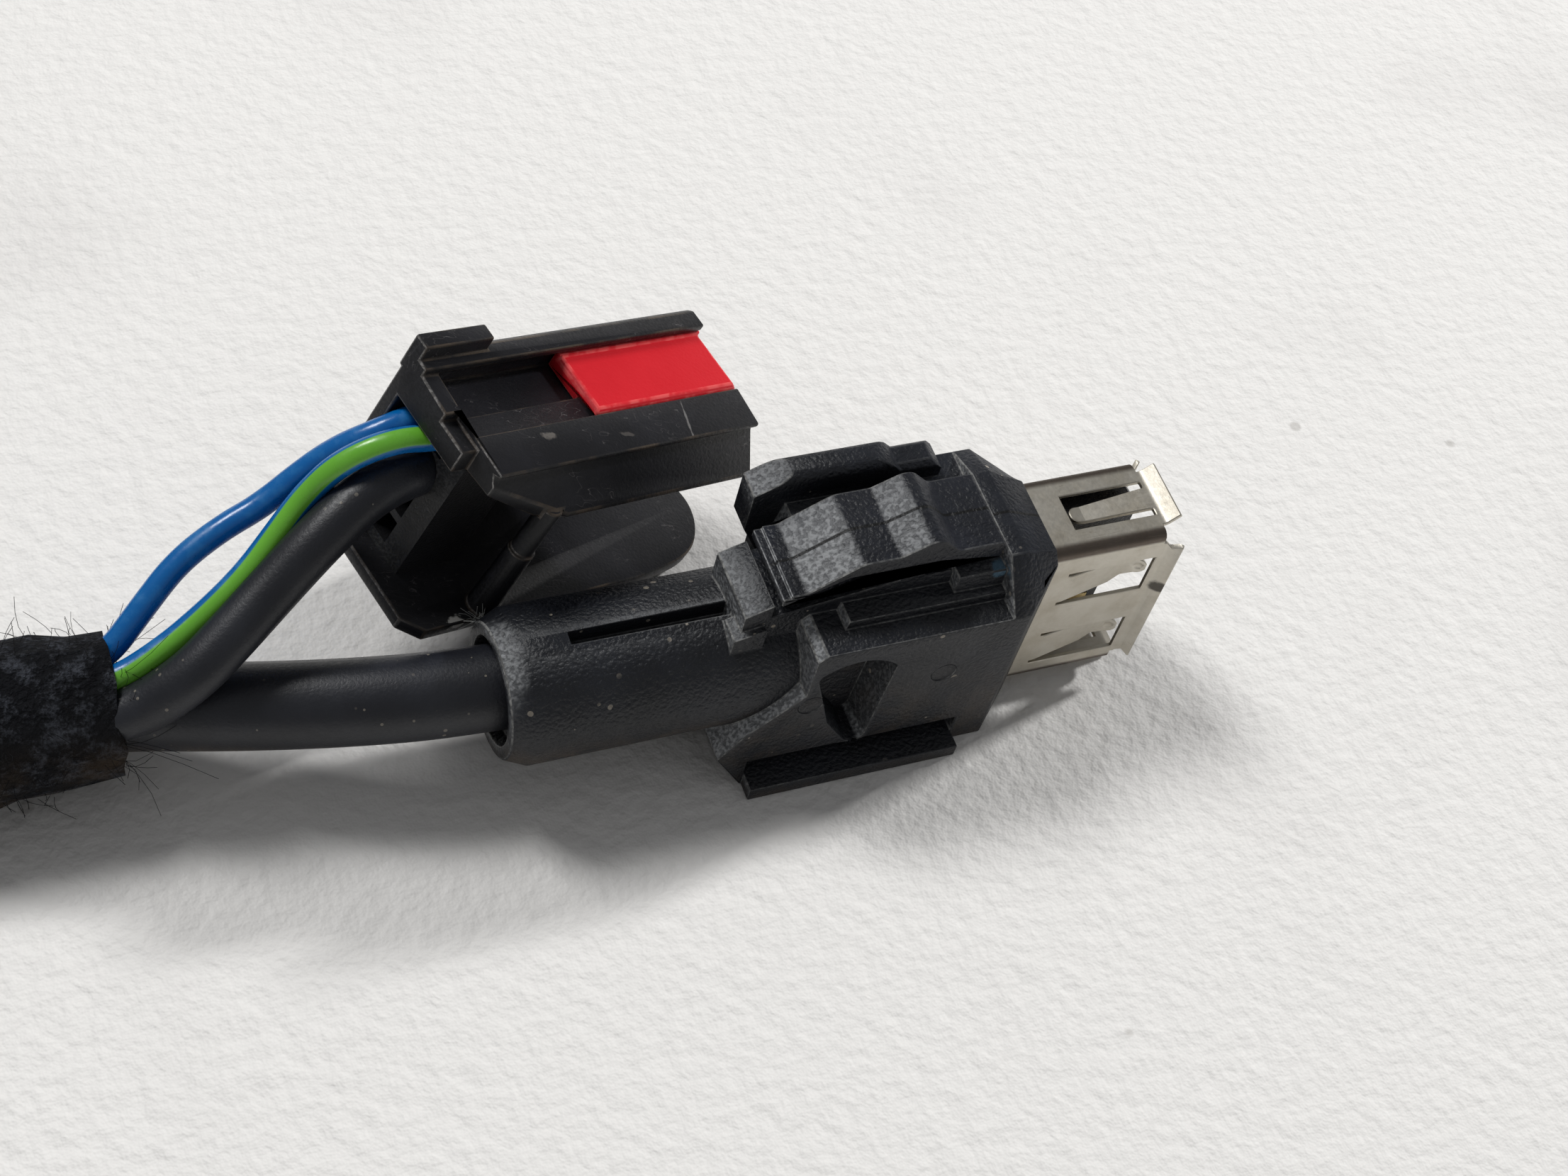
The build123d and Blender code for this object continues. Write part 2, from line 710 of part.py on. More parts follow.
with BuildPart() as module_housing:
    with BuildSketch(on_module(Plane.YZ.offset(-module_length))):
        with BuildLine():
            Polyline(
                (module_far, -module_height),
                (module_far, ridge_height / 2),
                (module_far - band_drop, ridge_height),
                (channel_far - band_drop, ridge_height),
                (channel_far - band_drop, band_drop / 2),
                (0, band_level),
                (-band_reach, -band_drop),
                (-band_reach, -band_drop - band_edge),
                (-band_reach + band_undercut, undercut_level),
                (-band_reach + band_undercut / 2, skirt_top_level),
                (-skirt_reach, -skirt_drop),
                (-skirt_reach, -skirt_drop - skirt_edge),
                (-skirt_reach + 2 * skirt_edge, -skirt_drop - skirt_edge),
                (-band_reach, -plate_under),
                (module_inner, -plate_under),
                (module_inner, base_top),
                (0, base_top),
                (0, -module_height),
                close=True,
            )
        make_face()
    extrude(amount=module_length)
    # Base plate with its rounded nose
    with BuildSketch(on_module(Plane.XY.offset(-module_height))):
        with BuildLine():
            Polyline(
                (-module_length, module_far),
                (-module_length, -base_near + base_rear_chamfer),
                (-module_length + base_rear_chamfer, -base_near),
                (-base_nose, -base_near),
            )
            Spline(
                (-base_nose, -base_near),
                (base_nose * 0.7, -base_near * 0.55),
                (base_nose, 0),
                (base_nose * 0.7, module_far * 0.7),
                (0, module_far),
                tangents=((1, 0.1), (-1, 0.1)),
            )
            Line((0, module_far), (-module_length, module_far))
        make_face()
    extrude(amount=module_wall)
    # Channel of the slide, closed at its rear end
    with BuildSketch(on_module(Plane.YZ.offset(-channel_end))):
        with BuildLine():
            Polyline(
                (0, ridge_height),
                (0, -channel_step),
                (channel_keel, -channel_step),
                (channel_keel, -channel_depth),
                (channel_far, -channel_depth),
                (channel_far, band_drop / 2),
                (channel_far - band_drop, band_drop / 2),
                (channel_far - band_drop, ridge_height),
                close=True,
            )
        make_face()
    extrude(amount=channel_end, mode=Mode.SUBTRACT)
    # Oblique cut behind the near skirt
    with BuildSketch(on_module(Plane.XY.offset(ridge_height))):
        with BuildLine():
            Polyline(
                (-module_length, -near_step_drop),
                (-near_step_back, -near_step_drop),
                (-band_start, -band_reach),
                (-skirt_cut_front, -skirt_reach),
                (-module_length, -skirt_reach),
                close=True,
            )
        make_face()
    extrude(amount=-ridge_height - skirt_drop - 2 * skirt_edge, mode=Mode.SUBTRACT)
    # Low step behind the near band
    with BuildSketch(on_module(Plane.XY.offset(ridge_height))):
        with BuildLine():
            Polyline(
                (-module_length, near_step_far),
                (-near_step_back, near_step_far),
                (-near_step_back, -skirt_reach),
                (-module_length, -skirt_reach),
                close=True,
            )
        make_face()
    extrude(amount=-ridge_height - near_step_drop, mode=Mode.SUBTRACT)
    # Raised block at the far rear corner and the pillar under the skirt
    with BuildSketch(on_module(Plane.YZ.offset(-module_length))):
        with BuildLine():
            Polyline(
                (rear_block_near, 0),
                (rear_block_near, rear_block_level),
                (rear_block_far, rear_block_level),
                (rear_block_far, -ridge_height),
                (module_far - module_wall / 2, -ridge_height),
                (module_far - module_wall / 2, 0),
                close=True,
            )
        make_face()
    extrude(amount=module_length - rear_block_front)
    with BuildSketch(on_module(Plane.XY.offset(base_top))):
        with Locations(pillar_place):
            Circle(pillar_radius)
    extrude(amount=-base_top - skirt_drop + skirt_edge)
    with BuildSketch(on_module(Plane.XY.offset(base_top))):
        with Locations(pillar_place):
            Circle(pillar_foot_radius)
    extrude(amount=pillar_foot_height, taper=pocket_draft / 4)
module_housing.part.label = "module_housing"
export_step(module_housing.part, "parts/module_housing.step")

# Terminal block: wire cavities in two columns, open to the rear
with BuildPart() as module_terminal_block:
    with BuildSketch(on_module(Plane.YZ.offset(-block_back))):
        with BuildLine():
            Polyline(
                (block_near, base_top),
                (module_inner, base_top),
                (module_inner, -plate_under),
                (block_near, -plate_under),
                close=True,
            )
        make_face()
    extrude(amount=block_back - block_front)
    with BuildSketch(on_module(Plane.YZ.offset(-block_back))):
        for column in (block_column_near, block_column_far):
            with Locations(*[(column, row) for row in (wire_row, *spare_rows)]):
                Rectangle(wire_cavity, wire_cavity)
    extrude(amount=wire_depth + terminal_length, mode=Mode.SUBTRACT)
    with BuildSketch(on_module(Plane.YZ.offset(-block_back))):
        with Locations((cable_column, cable_row)):
            Circle(thin_cable_diameter / 2)
    extrude(amount=cable_depth + ferrule_length, mode=Mode.SUBTRACT)
module_terminal_block.part.label = "module_terminal_block"
export_step(module_terminal_block.part, "parts/module_terminal_block.step")

# Crimp terminals at the bottom of the two used cavities
for number, column in enumerate((block_column_near, block_column_far), start=1):
    with BuildPart() as module_terminal:
        with BuildSketch(on_module(Plane.YZ.offset(-block_back + wire_depth))):
            with Locations((column, wire_row)):
                RectangleRounded(terminal_width, terminal_width, terminal_width / 5)
        extrude(amount=terminal_length)
    module_terminal.part.label = f"module_terminal_{number}"
    export_step(module_terminal.part, f"parts/module_terminal_{number}.step")

# Ferrule that the thin cable's end butts against
with BuildPart() as cable_ferrule:
    with BuildSketch(on_module(Plane.YZ.offset(-block_back + cable_depth))):
        with Locations((cable_column, cable_row)):
            Circle(thin_cable_diameter / 2 - slide_clearance)
            Circle(thin_cable_diameter / 2 - slide_clearance - ferrule_wall, mode=Mode.SUBTRACT)
    extrude(amount=ferrule_length)
cable_ferrule.part.label = "cable_ferrule"
export_step(cable_ferrule.part, "parts/cable_ferrule.step")

# Locking slide in its channel
with BuildPart() as red_slide:
    with BuildSketch(on_module(Plane.YZ.offset(-slide_length))):
        with BuildLine():
            Polyline(
                (slide_clearance, -channel_step + slide_clearance),
                (slide_clearance, 0),
                (channel_far - band_drop - slide_clearance, 0),
                (channel_far - band_drop - slide_clearance, band_drop / 2 - slide_clearance),
                (channel_far - slide_clearance, band_drop / 2 - slide_clearance),
                (channel_far - slide_clearance, -channel_depth + slide_clearance),
                (channel_keel + slide_clearance, -channel_depth + slide_clearance),
                (channel_keel + slide_clearance, -channel_step + slide_clearance),
                close=True,
            )
        make_face()
    extrude(amount=slide_length)
    slide_top = red_slide.faces().sort_by(SortBy.AREA)[-1]
    slide_rims = slide_top.edges().sort_by(Axis(module_origin, module_frame.y_dir))
    chamfer(slide_rims[:-1], length=slide_bevel)
red_slide.part.label = "red_slide"
export_step(red_slide.part, "parts/red_slide.step")


# Cords: straight runs joined by tangent arcs
def bend_radii(route):
    """Largest arc that each corner of a route has room for."""
    corners = [Vector(*place) for place in route]
    radii = []
    for before, corner, after in zip(corners, corners[1:], corners[2:]):
        turn = radians((corner - before).get_angle(after - corner))
        shorter = min((corner - before).length, (after - corner).length)
        radii.append(0.45 * shorter / tan(turn / 2))
    return radii


def coil_point(x, y, level):
    """World position of a point given from the coil's centre."""
    return (coil_centre[0] + x, coil_centre[1] + y, level)


usb_cable_route = (
    (-cable_seat, 0.0, boot_level),
    (-43.1, 0.2, -0.55),
    (-49.6, 1.3, -0.95),
    (-56.1, 3.2, -1.9),
    (-62.3, 5.8, -3.5),
    (-69.1, 6.4, -3.6),
)
thin_cable_route = (
    (-69.8, 3.0, -1.1),
    (-65.4, 2.7, -0.95),
    (-61.2, 2.4, -0.5),
    (-58.0, 3.0, 1.8),
    (-55.3, 4.4, 3.4),
    (-52.7, 5.9, 4.9),
    (-49.9, 7.3, 6.8),
    (-46.9, 8.9, 8.1),
    module_point(-block_back, cable_column, cable_row),
    module_point(-block_back + cable_depth, cable_column, cable_row),
)
striped_wire_route = (
    (-69.4, 4.6, 0.9),
    (-65.4, 4.5, 0.5),
    (-61.7, 4.6, 0.6),
    (-59.0, 5.2, 1.8),
    (-56.6, 6.1, 3.0),
    (-54.1, 7.2, 4.5),
    (-52.0, 8.6, 6.0),
    (-50.2, 9.7, 7.6),
    (-48.3, 9.8, 10.0),
    (-45.4, 9.8, 11.2),
    module_point(-block_back, block_column_near, wire_row),
    module_point(-block_back + wire_depth, block_column_near, wire_row),
)
blue_wire_route = (
    (-69.4, 6.6, -0.3),
    (-65.4, 6.3, -0.4),
    (-61.9, 6.5, -0.1),
    (-59.4, 8.1, 2.0),
    (-57.2, 9.6, 3.5),
    (-54.5, 10.5, 4.8),
    (-52.2, 11.1, 5.4),
    (-49.8, 11.6, 7.2),
    (-47.9, 11.5, 9.0),
    (-45.8, 11.2, 10.3),
    module_point(-block_back, block_column_far, wire_row),
    module_point(-block_back + wire_depth, block_column_far, wire_row),
)
bundle_route = (
    (-63.8, 5.0, bundle_level + 0.25),
    (-74.0, 5.6, bundle_level),
    (-89.0, 5.3, bundle_level),
    (coil_centre[0] + 20, coil_centre[1] - coil_middle_radius - coil_pitch / 2, bundle_level),
)
tail_route = (
    coil_point(5.0, -47.4, bundle_level),
    coil_point(-9.0, -45.4, bundle_level),
    coil_point(-24.2, -35.4, bundle_level),
    coil_point(-31.4, -17.0, bundle_level),
    coil_point(-28.2, -4.0, bundle_level),
)

cords = (
    ("usb_cable", usb_cable_route, usb_cable_diameter),
    ("thin_cable", thin_cable_route, thin_cable_diameter),
    ("wire_blue_green", striped_wire_route, wire_diameter),
    ("wire_blue", blue_wire_route, wire_diameter),
    ("harness_bundle", bundle_route, bundle_diameter),
    ("harness_tail", tail_route, bundle_diameter),
)
for name, route, diameter in cords:
    with BuildPart() as cord:
        with BuildLine() as path:
            FilletPolyline(*route, radius=bend_radii(route))
        with BuildSketch(Plane(origin=path.line @ 0, z_dir=path.line % 0)):
            Circle(diameter / 2)
        sweep(path=path.wires()[0])
    cord.part.label = name
    export_step(cord.part, f"parts/{name}.step")
    wanted = pi * diameter**2 / 4 * path.wires()[0].length
    print(name, [round(radius, 1) for radius in bend_radii(route)], round(cord.part.volume / wanted, 4))

# Start of the tape, drawn in round the cables
tape_way = (Vector(*bundle_route[0]) - Vector(*bundle_route[1])).normalized()
with BuildPart() as tape_end:
    with BuildSketch(Plane(origin=bundle_route[0], z_dir=tape_way)):
        Circle(bundle_diameter / 2)
    with BuildSketch(Plane(origin=Vector(*bundle_route[0]) + tape_way * tape_length, z_dir=tape_way)):
        Circle(tape_tip_diameter / 2)
    loft()
tape_end.part.label = "tape_end"
export_step(tape_end.part, "parts/tape_end.step")

# Two flat turns of the bundle as one ring, with a seat for the tie
ring_width = coil_pitch + bundle_diameter
ring_chamfer = bundle_diameter * (1 - 0.5**0.5)
tie_plane = Plane(
    origin=coil_point(
        coil_middle_radius * cos(radians(tie_angle)),
        coil_middle_radius * sin(radians(tie_angle)),
        bundle_level,
    ),
    x_dir=(cos(radians(tie_angle)), sin(radians(tie_angle)), 0),
    z_dir=(sin(radians(tie_angle)), -cos(radians(tie_angle)), 0),
)
with BuildPart() as harness_coil:
    with BuildSketch(Plane.XZ.offset(-coil_centre[1])) as ring_section:
        with Locations((coil_centre[0] + coil_middle_radius, bundle_level)):
            Rectangle(ring_width, bundle_diameter)
        chamfer(ring_section.vertices(), length=ring_chamfer)
    revolve(axis=Axis((coil_centre[0], coil_centre[1], 0), (0, 0, 1)))
    with BuildSketch(tie_plane):
        Rectangle(2 * ring_width, 2 * bundle_diameter)
        RectangleRounded(
            ring_width - 2 * tie_thickness,
            bundle_diameter - 2 * tie_thickness,
            bundle_diameter / 2 - 3 * tie_thickness / 2,
            mode=Mode.SUBTRACT,
        )
    extrude(amount=tie_width / 2, both=True, mode=Mode.SUBTRACT)
harness_coil.part.label = "harness_coil"
export_step(harness_coil.part, "parts/harness_coil.step")

# Cable tie round both turns
with BuildPart() as coil_tie:
    with BuildSketch(tie_plane):
        RectangleRounded(ring_width, bundle_diameter, bundle_diameter / 2 - tie_thickness / 2)
        RectangleRounded(
            ring_width - 2 * tie_thickness,
            bundle_diameter - 2 * tie_thickness,
            bundle_diameter / 2 - 3 * tie_thickness / 2,
            mode=Mode.SUBTRACT,
        )
    extrude(amount=tie_width / 2, both=True)
    with BuildSketch(tie_plane):
        with Locations((0, bundle_diameter / 2 + tie_head_height / 2)):
            RectangleRounded(tie_head_length, tie_head_height, tie_thickness / 2)
    extrude(amount=tie_width / 2 + tie_thickness / 2, both=True)
coil_tie.part.label = "coil_tie"
export_step(coil_tie.part, "parts/coil_tie.step")

# Far connector on the tail's end
far_frame = Plane(
    origin=(tail_route[-1][0], tail_route[-1][1], table_level + far_height / 2),
    x_dir=Vector(*tail_route[-1]) - Vector(*tail_route[-2]),
    z_dir=(0, 0, 1),
)


def on_far(local):
    """Place a plane given in the far connector's own frame."""
    return Plane(far_frame.location * local.location)


far_inner_width = far_width - 2 * far_wall
far_inner_height = far_height - 2 * far_wall
with BuildPart() as far_housing:
    with BuildSketch(on_far(Plane.YZ)):
        RectangleRounded(far_width, far_height, far_wall)
    extrude(amount=far_length)
    with BuildSketch(on_far(Plane.YZ.offset(far_back_wall))):
        Rectangle(far_inner_width, far_inner_height)
    extrude(amount=far_length - far_back_wall, mode=Mode.SUBTRACT)
    with BuildSketch(on_far(Plane.XZ)):
        with BuildLine():
            Polyline(
                (far_length - far_gate_length, far_height / 2 - far_wall / 2),
                (far_length - far_gate_length, far_height / 2 + far_gate_height),
                (far_length - far_gate_length / 2, far_height / 2 + far_gate_height),
                (far_length - far_wall, far_height / 2),
                (far_length - far_wall, far_height / 2 - far_wall / 2),
                close=True,
            )
        make_face()
    extrude(amount=far_gate_width / 2, both=True)
far_housing.part.label = "far_housing"
export_step(far_housing.part, "parts/far_housing.step")

contact_grid = [
    (
        (column - (far_insert_columns - 1) / 2) * far_contact_pitch,
        (row - (far_insert_rows - 1) / 2) * far_contact_row_pitch,
    )
    for row in range(far_insert_rows)
    for column in range(far_insert_columns)
]
with BuildPart() as far_insert:
    with BuildSketch(on_far(Plane.YZ.offset(far_back_wall))):
        Rectangle(far_inner_width, far_inner_height)
    extrude(amount=far_length - far_back_wall - far_cavity_depth)
    with BuildSketch(on_far(Plane.YZ.offset(far_length - far_cavity_depth))):
        with Locations(*contact_grid):
            Rectangle(far_contact_size, far_contact_size)
    extrude(amount=-far_contact_length, mode=Mode.SUBTRACT)
far_insert.part.label = "far_insert"
export_step(far_insert.part, "parts/far_insert.step")

with BuildPart() as far_contacts:
    with BuildSketch(on_far(Plane.YZ.offset(far_length - far_cavity_depth - far_contact_length))):
        with Locations(*contact_grid):
            Rectangle(far_contact_size, far_contact_size)
            Rectangle(far_contact_size / 2, far_contact_size / 2, mode=Mode.SUBTRACT)
    extrude(amount=far_contact_length - far_contact_size / 2)
far_contacts.part.label = "far_contacts"
export_step(far_contacts.part, "parts/far_contacts.step")
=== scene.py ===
import random
from math import cos, pi, radians, sin

import bpy
from mathutils import Matrix, Vector


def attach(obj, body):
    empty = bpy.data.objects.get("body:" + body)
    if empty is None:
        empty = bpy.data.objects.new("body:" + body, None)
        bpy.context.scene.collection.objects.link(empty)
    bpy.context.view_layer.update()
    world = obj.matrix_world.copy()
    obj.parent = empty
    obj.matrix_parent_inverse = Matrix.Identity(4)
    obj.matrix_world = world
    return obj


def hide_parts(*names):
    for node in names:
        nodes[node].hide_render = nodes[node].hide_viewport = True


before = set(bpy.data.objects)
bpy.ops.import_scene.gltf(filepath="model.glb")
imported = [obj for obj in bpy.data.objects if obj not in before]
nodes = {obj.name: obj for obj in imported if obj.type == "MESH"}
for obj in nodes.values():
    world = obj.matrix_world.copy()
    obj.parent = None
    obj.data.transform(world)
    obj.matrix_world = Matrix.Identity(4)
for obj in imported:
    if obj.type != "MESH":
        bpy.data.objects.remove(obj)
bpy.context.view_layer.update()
scene = bpy.context.scene
scene.view_settings.view_transform = "Standard"

# Camera: hand-held above and behind the cable side, looking down at the latch and the open end of
# the socket. Its frame is 2212 by 1659.
camera_place = Vector((-0.079467, -0.077257, 0.126675))
camera_right = Vector((0.91799, -0.34582, 0.19420))
camera_up = Vector((0.17642, 0.79458, 0.58096))
camera_back = Vector((-0.35522, -0.49905, 0.79042))
camera_data = bpy.data.cameras.new("camera")
camera_data.sensor_fit = "HORIZONTAL"
camera_data.sensor_width = 36.0
camera_data.lens = 61.84
camera_data.clip_start = 0.01
camera = bpy.data.objects.new("camera", camera_data)
scene.collection.objects.link(camera)
camera.matrix_world = Matrix.Translation(camera_place) @ Matrix(
    (
        (camera_right.x, camera_up.x, camera_back.x),
        (camera_right.y, camera_up.y, camera_back.y),
        (camera_right.z, camera_up.z, camera_back.z),
    )
).to_4x4()
scene.camera = camera

# Floor: a matt off-white painted sheet under the harness, pebbled by the roller, with grey smudges
# and a few specks of grit.
floor_level = -0.0075
floor_size = 6.0
paint_clean = (0.83, 0.815, 0.79, 1)
paint_smudged = (0.68, 0.66, 0.64, 1)
grit_colour = (0.42, 0.40, 0.37, 1)
pebble_depth = 0.00022


def shader_node(tree, kind, sockets=None, **settings):
    """Adds one node. Each socket named gets a value, or a link from another node's output."""
    node = tree.nodes.new(kind)
    for setting, value in settings.items():
        setattr(node, setting, value)
    for socket, value in (sockets or {}).items():
        if isinstance(value, bpy.types.NodeSocket):
            tree.links.new(value, node.inputs[socket])
        else:
            node.inputs[socket].default_value = value
    return node


def calculated(tree, operation, *values):
    """The result of one Math node."""
    return shader_node(tree, "ShaderNodeMath", dict(enumerate(values)), operation=operation).outputs[0]


def product(tree, *values):
    """Several values multiplied together."""
    result = values[0]
    for value in values[1:]:
        result = calculated(tree, "MULTIPLY", result, value)
    return result


def step_from(tree, value, low, high):
    """0 up to low, 1 from high and smooth between; the other way round where low is above high."""
    sockets = {"Value": value, "From Min": low, "From Max": high}
    return shader_node(tree, "ShaderNodeMapRange", sockets, interpolation_type="SMOOTHSTEP").outputs["Result"]


def mix_colour(tree, share, first, second):
    """The first colour where share is 0 and the second where it is 1."""
    mix = shader_node(tree, "ShaderNodeMix", {0: share, 6: first, 7: second}, data_type="RGBA")
    return mix.outputs[2]


def noise_at(tree, place, scale, detail=2.0, roughness=0.5):
    """A noise from 0 to 1, with that many waves to a metre."""
    sockets = {"Vector": place, "Scale": scale, "Detail": detail, "Roughness": roughness}
    return shader_node(tree, "ShaderNodeTexNoise", sockets).outputs["Fac"]


def axes_of(tree, vector):
    """A vector's X, Y and Z."""
    return shader_node(tree, "ShaderNodeSeparateXYZ", {0: vector}).outputs


def bare_material(name, roughness, metallic=0.0):
    """A material with its tree, its shader and the place on the piece that its patterns follow."""
    material = bpy.data.materials.new(name)
    material.use_nodes = True
    tree = material.node_tree
    shader = tree.nodes["Principled BSDF"]
    shader.inputs["Roughness"].default_value = roughness
    shader.inputs["Metallic"].default_value = metallic
    return material, tree, shader, shader_node(tree, "ShaderNodeTexCoord")


def dress(tree, shader, colour, roughness=None):
    """Gives the shader its colour, and its roughness where that changes over the surface."""
    tree.links.new(colour, shader.inputs["Base Color"])
    if roughness is not None:
        tree.links.new(roughness, shader.inputs["Roughness"])


def raise_relief(tree, shader, height, distance):
    """Lets a height lift the surface by up to that distance."""
    bump = shader_node(tree, "ShaderNodeBump", {"Strength": 1.0, "Distance": distance, "Height": height})
    tree.links.new(bump.outputs["Normal"], shader.inputs["Normal"])


bpy.ops.object.select_all(action="DESELECT")
bpy.ops.mesh.primitive_plane_add(size=floor_size, location=(0, 0, floor_level))
floor = bpy.context.object
floor.name = "floor"
floor_paint, paint_tree, paint_shader, paint_place = bare_material("floor_paint", 0.6)
paint_point = paint_place.outputs["Object"]
pebbles = noise_at(paint_tree, paint_point, 820.0, 3.0, 0.55)
smudges = step_from(paint_tree, noise_at(paint_tree, paint_point, 38.0, 4.0), 0.52, 0.75)
grit = shader_node(paint_tree, "ShaderNodeTexVoronoi", {"Vector": paint_point, "Scale": 90.0})
grit_spots = step_from(paint_tree, grit.outputs["Distance"], 0.05, 0.03)
paint_colour = mix_colour(paint_tree, product(paint_tree, smudges, 0.4), paint_clean, paint_smudged)
paint_colour = mix_colour(paint_tree, product(paint_tree, grit_spots, 0.5), paint_colour, grit_colour)
dress(paint_tree, paint_shader, paint_colour)
raise_relief(paint_tree, paint_shader, pebbles, pebble_depth)
floor.data.materials.append(floor_paint)

# Light: a soft lamp above, behind and to the left of the harness, a lower one far to its right that
# draws the long shadow and isn't mirrored in the pieces, and a pale room all round.
lamp_target = Vector((-0.02, 0.0, 0.0))
room_colour = (0.97, 0.98, 1.0, 1)
room_strength = 0.22
for lamp_name, lamp_place, lamp_power, lamp_size, mirrored in (
    ("key_lamp", (-0.36, 0.50, 0.80), 5.6, 0.28, True),
    ("low_lamp", (0.80, 0.22, 0.42), 7.0, 0.08, False),
):
    lamp_data = bpy.data.lights.new(lamp_name, "AREA")
    lamp_data.shape = "SQUARE"
    lamp_data.size = lamp_size
    lamp_data.energy = lamp_power
    lamp = bpy.data.objects.new(lamp_name, lamp_data)
    scene.collection.objects.link(lamp)
    lamp.location = lamp_place
    lamp.visible_glossy = mirrored
    lamp.rotation_euler = (lamp_target - Vector(lamp_place)).to_track_quat("-Z", "Y").to_euler()
room = bpy.data.worlds.new("room")
room.use_nodes = True
room_light = room.node_tree.nodes["Background"]
room_light.inputs["Color"].default_value = room_colour
room_light.inputs["Strength"].default_value = room_strength
scene.world = room

# USB cable: round black jacket, from the boot into the tape, with a brownish film of dust along its
# lower side. Its route is the CAD tube's.
usb_cable_diameter = 0.005
usb_cable_dust_level = -0.0030
usb_cable_route = (
    (-0.0356, 0.0, -0.0005),
    (-0.0431, 0.0002, -0.00055),
    (-0.0496, 0.0013, -0.00095),
    (-0.0561, 0.0032, -0.0019),
    (-0.0623, 0.0058, -0.0035),
    (-0.0691, 0.0064, -0.0036),
)
jacket_black = (0.0105, 0.0115, 0.016, 1)
jacket_handled = (0.021, 0.023, 0.030, 1)
road_dust = (0.105, 0.075, 0.048, 1)
pale_grain = (0.42, 0.37, 0.30, 1)


def new_group(name, inputs, outputs):
    """A node group with its sockets, and its own input and output nodes."""
    group = bpy.data.node_groups.new(name, "ShaderNodeTree")
    for socket, value in inputs:
        kind = "NodeSocketVector" if isinstance(value, tuple) else "NodeSocketFloat"
        group.interface.new_socket(socket, in_out="INPUT", socket_type=kind).default_value = value
    for socket in outputs:
        group.interface.new_socket(socket, in_out="OUTPUT", socket_type="NodeSocketFloat")
    return group, group.nodes.new("NodeGroupInput").outputs, group.nodes.new("NodeGroupOutput").inputs


def settled_dust_group():
    """Dust in patches on what lies low and faces down, and single pale grains here and there."""
    group, given, made = new_group(
        "settled_dust",
        (("Level", 0.0), ("Depth", 0.002), ("Grains", 1200.0)),
        ("Dust", "Specks"),
    )
    place = shader_node(group, "ShaderNodeTexCoord")
    point = place.outputs["Object"]
    height = axes_of(group, point)["Z"]
    facing = axes_of(group, place.outputs["Normal"])["Z"]
    above = calculated(group, "DIVIDE", calculated(group, "SUBTRACT", height, given["Level"]), given["Depth"])
    low = step_from(group, above, 1.0, -0.4)
    under = step_from(group, facing, 0.45, -0.6)
    patches = step_from(group, noise_at(group, point, 420.0, 4.0, 0.65), 0.34, 0.70)
    group.links.new(product(group, low, under, patches), made["Dust"])
    grains = shader_node(group, "ShaderNodeTexVoronoi", {"Vector": point, "Scale": given["Grains"]})
    chance = shader_node(group, "ShaderNodeSeparateColor", {0: grains.outputs["Color"]}).outputs[0]
    reach = calculated(group, "MULTIPLY_ADD", chance, 1.0, -0.72)
    specks = calculated(group, "LESS_THAN", grains.outputs["Distance"], reach)
    seldom = step_from(group, noise_at(group, point, 240.0), 0.48, 0.60)
    group.links.new(product(group, specks, seldom), made["Specks"])
    return group


settled_dust = settled_dust_group()


def add_dust(tree, colour, level, depth, amount, grains, grain_amount):
    """Lays road dust over a colour, gone at depth above level, and pale grains, so many to a metre."""
    sockets = {"Level": level, "Depth": depth, "Grains": grains}
    dust = shader_node(tree, "ShaderNodeGroup", sockets, node_tree=settled_dust)
    dusty = mix_colour(tree, product(tree, dust.outputs["Dust"], amount), colour, road_dust)
    return mix_colour(tree, product(tree, dust.outputs["Specks"], grain_amount), dusty, pale_grain)


def add_cord(name, route, diameter, material, radii=()):
    """A round cord as one smooth spline with the route's points as its control points."""
    curve = bpy.data.curves.new(name, "CURVE")
    curve.dimensions = "3D"
    curve.bevel_depth = diameter / 2
    curve.bevel_resolution = 8
    curve.resolution_u = 12
    curve.use_fill_caps = True
    spline = curve.splines.new("NURBS")
    spline.points.add(len(route) - 1)
    for point, place in zip(spline.points, route):
        point.co = (*place, 1)
    for point, radius in zip(spline.points, radii):
        point.radius = radius
    spline.order_u = 3
    spline.use_endpoint_u = True
    curve.materials.append(material)
    cord_object = bpy.data.objects.new(name, curve)
    scene.collection.objects.link(cord_object)
    return cord_object


def jacket_material(name, dust_level):
    """Soft black cable jacket: a faint drag texture from the extruder, greyer where it was handled."""
    material, tree, shader, place = bare_material(name, 0.42)
    point = place.outputs["Object"]
    handled = step_from(tree, noise_at(tree, point, 130.0, 4.0, 0.6), 0.40, 0.72)
    colour = mix_colour(tree, handled, jacket_black, jacket_handled)
    colour = add_dust(tree, colour, dust_level, depth=0.0016, amount=0.6, grains=2300.0, grain_amount=0.4)
    drag = noise_at(tree, point, 5200.0, 3.0, 0.6)
    dress(tree, shader, colour, calculated(tree, "MULTIPLY_ADD", drag, 0.26, 0.30))
    raise_relief(tree, shader, drag, 0.00002)
    return material


usb_cable_jacket = jacket_material("usb_cable_jacket", usb_cable_dust_level)
usb_cable = add_cord("usb_cable_run", usb_cable_route, usb_cable_diameter, usb_cable_jacket)
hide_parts("usb_cable")
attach(usb_cable, "harness")

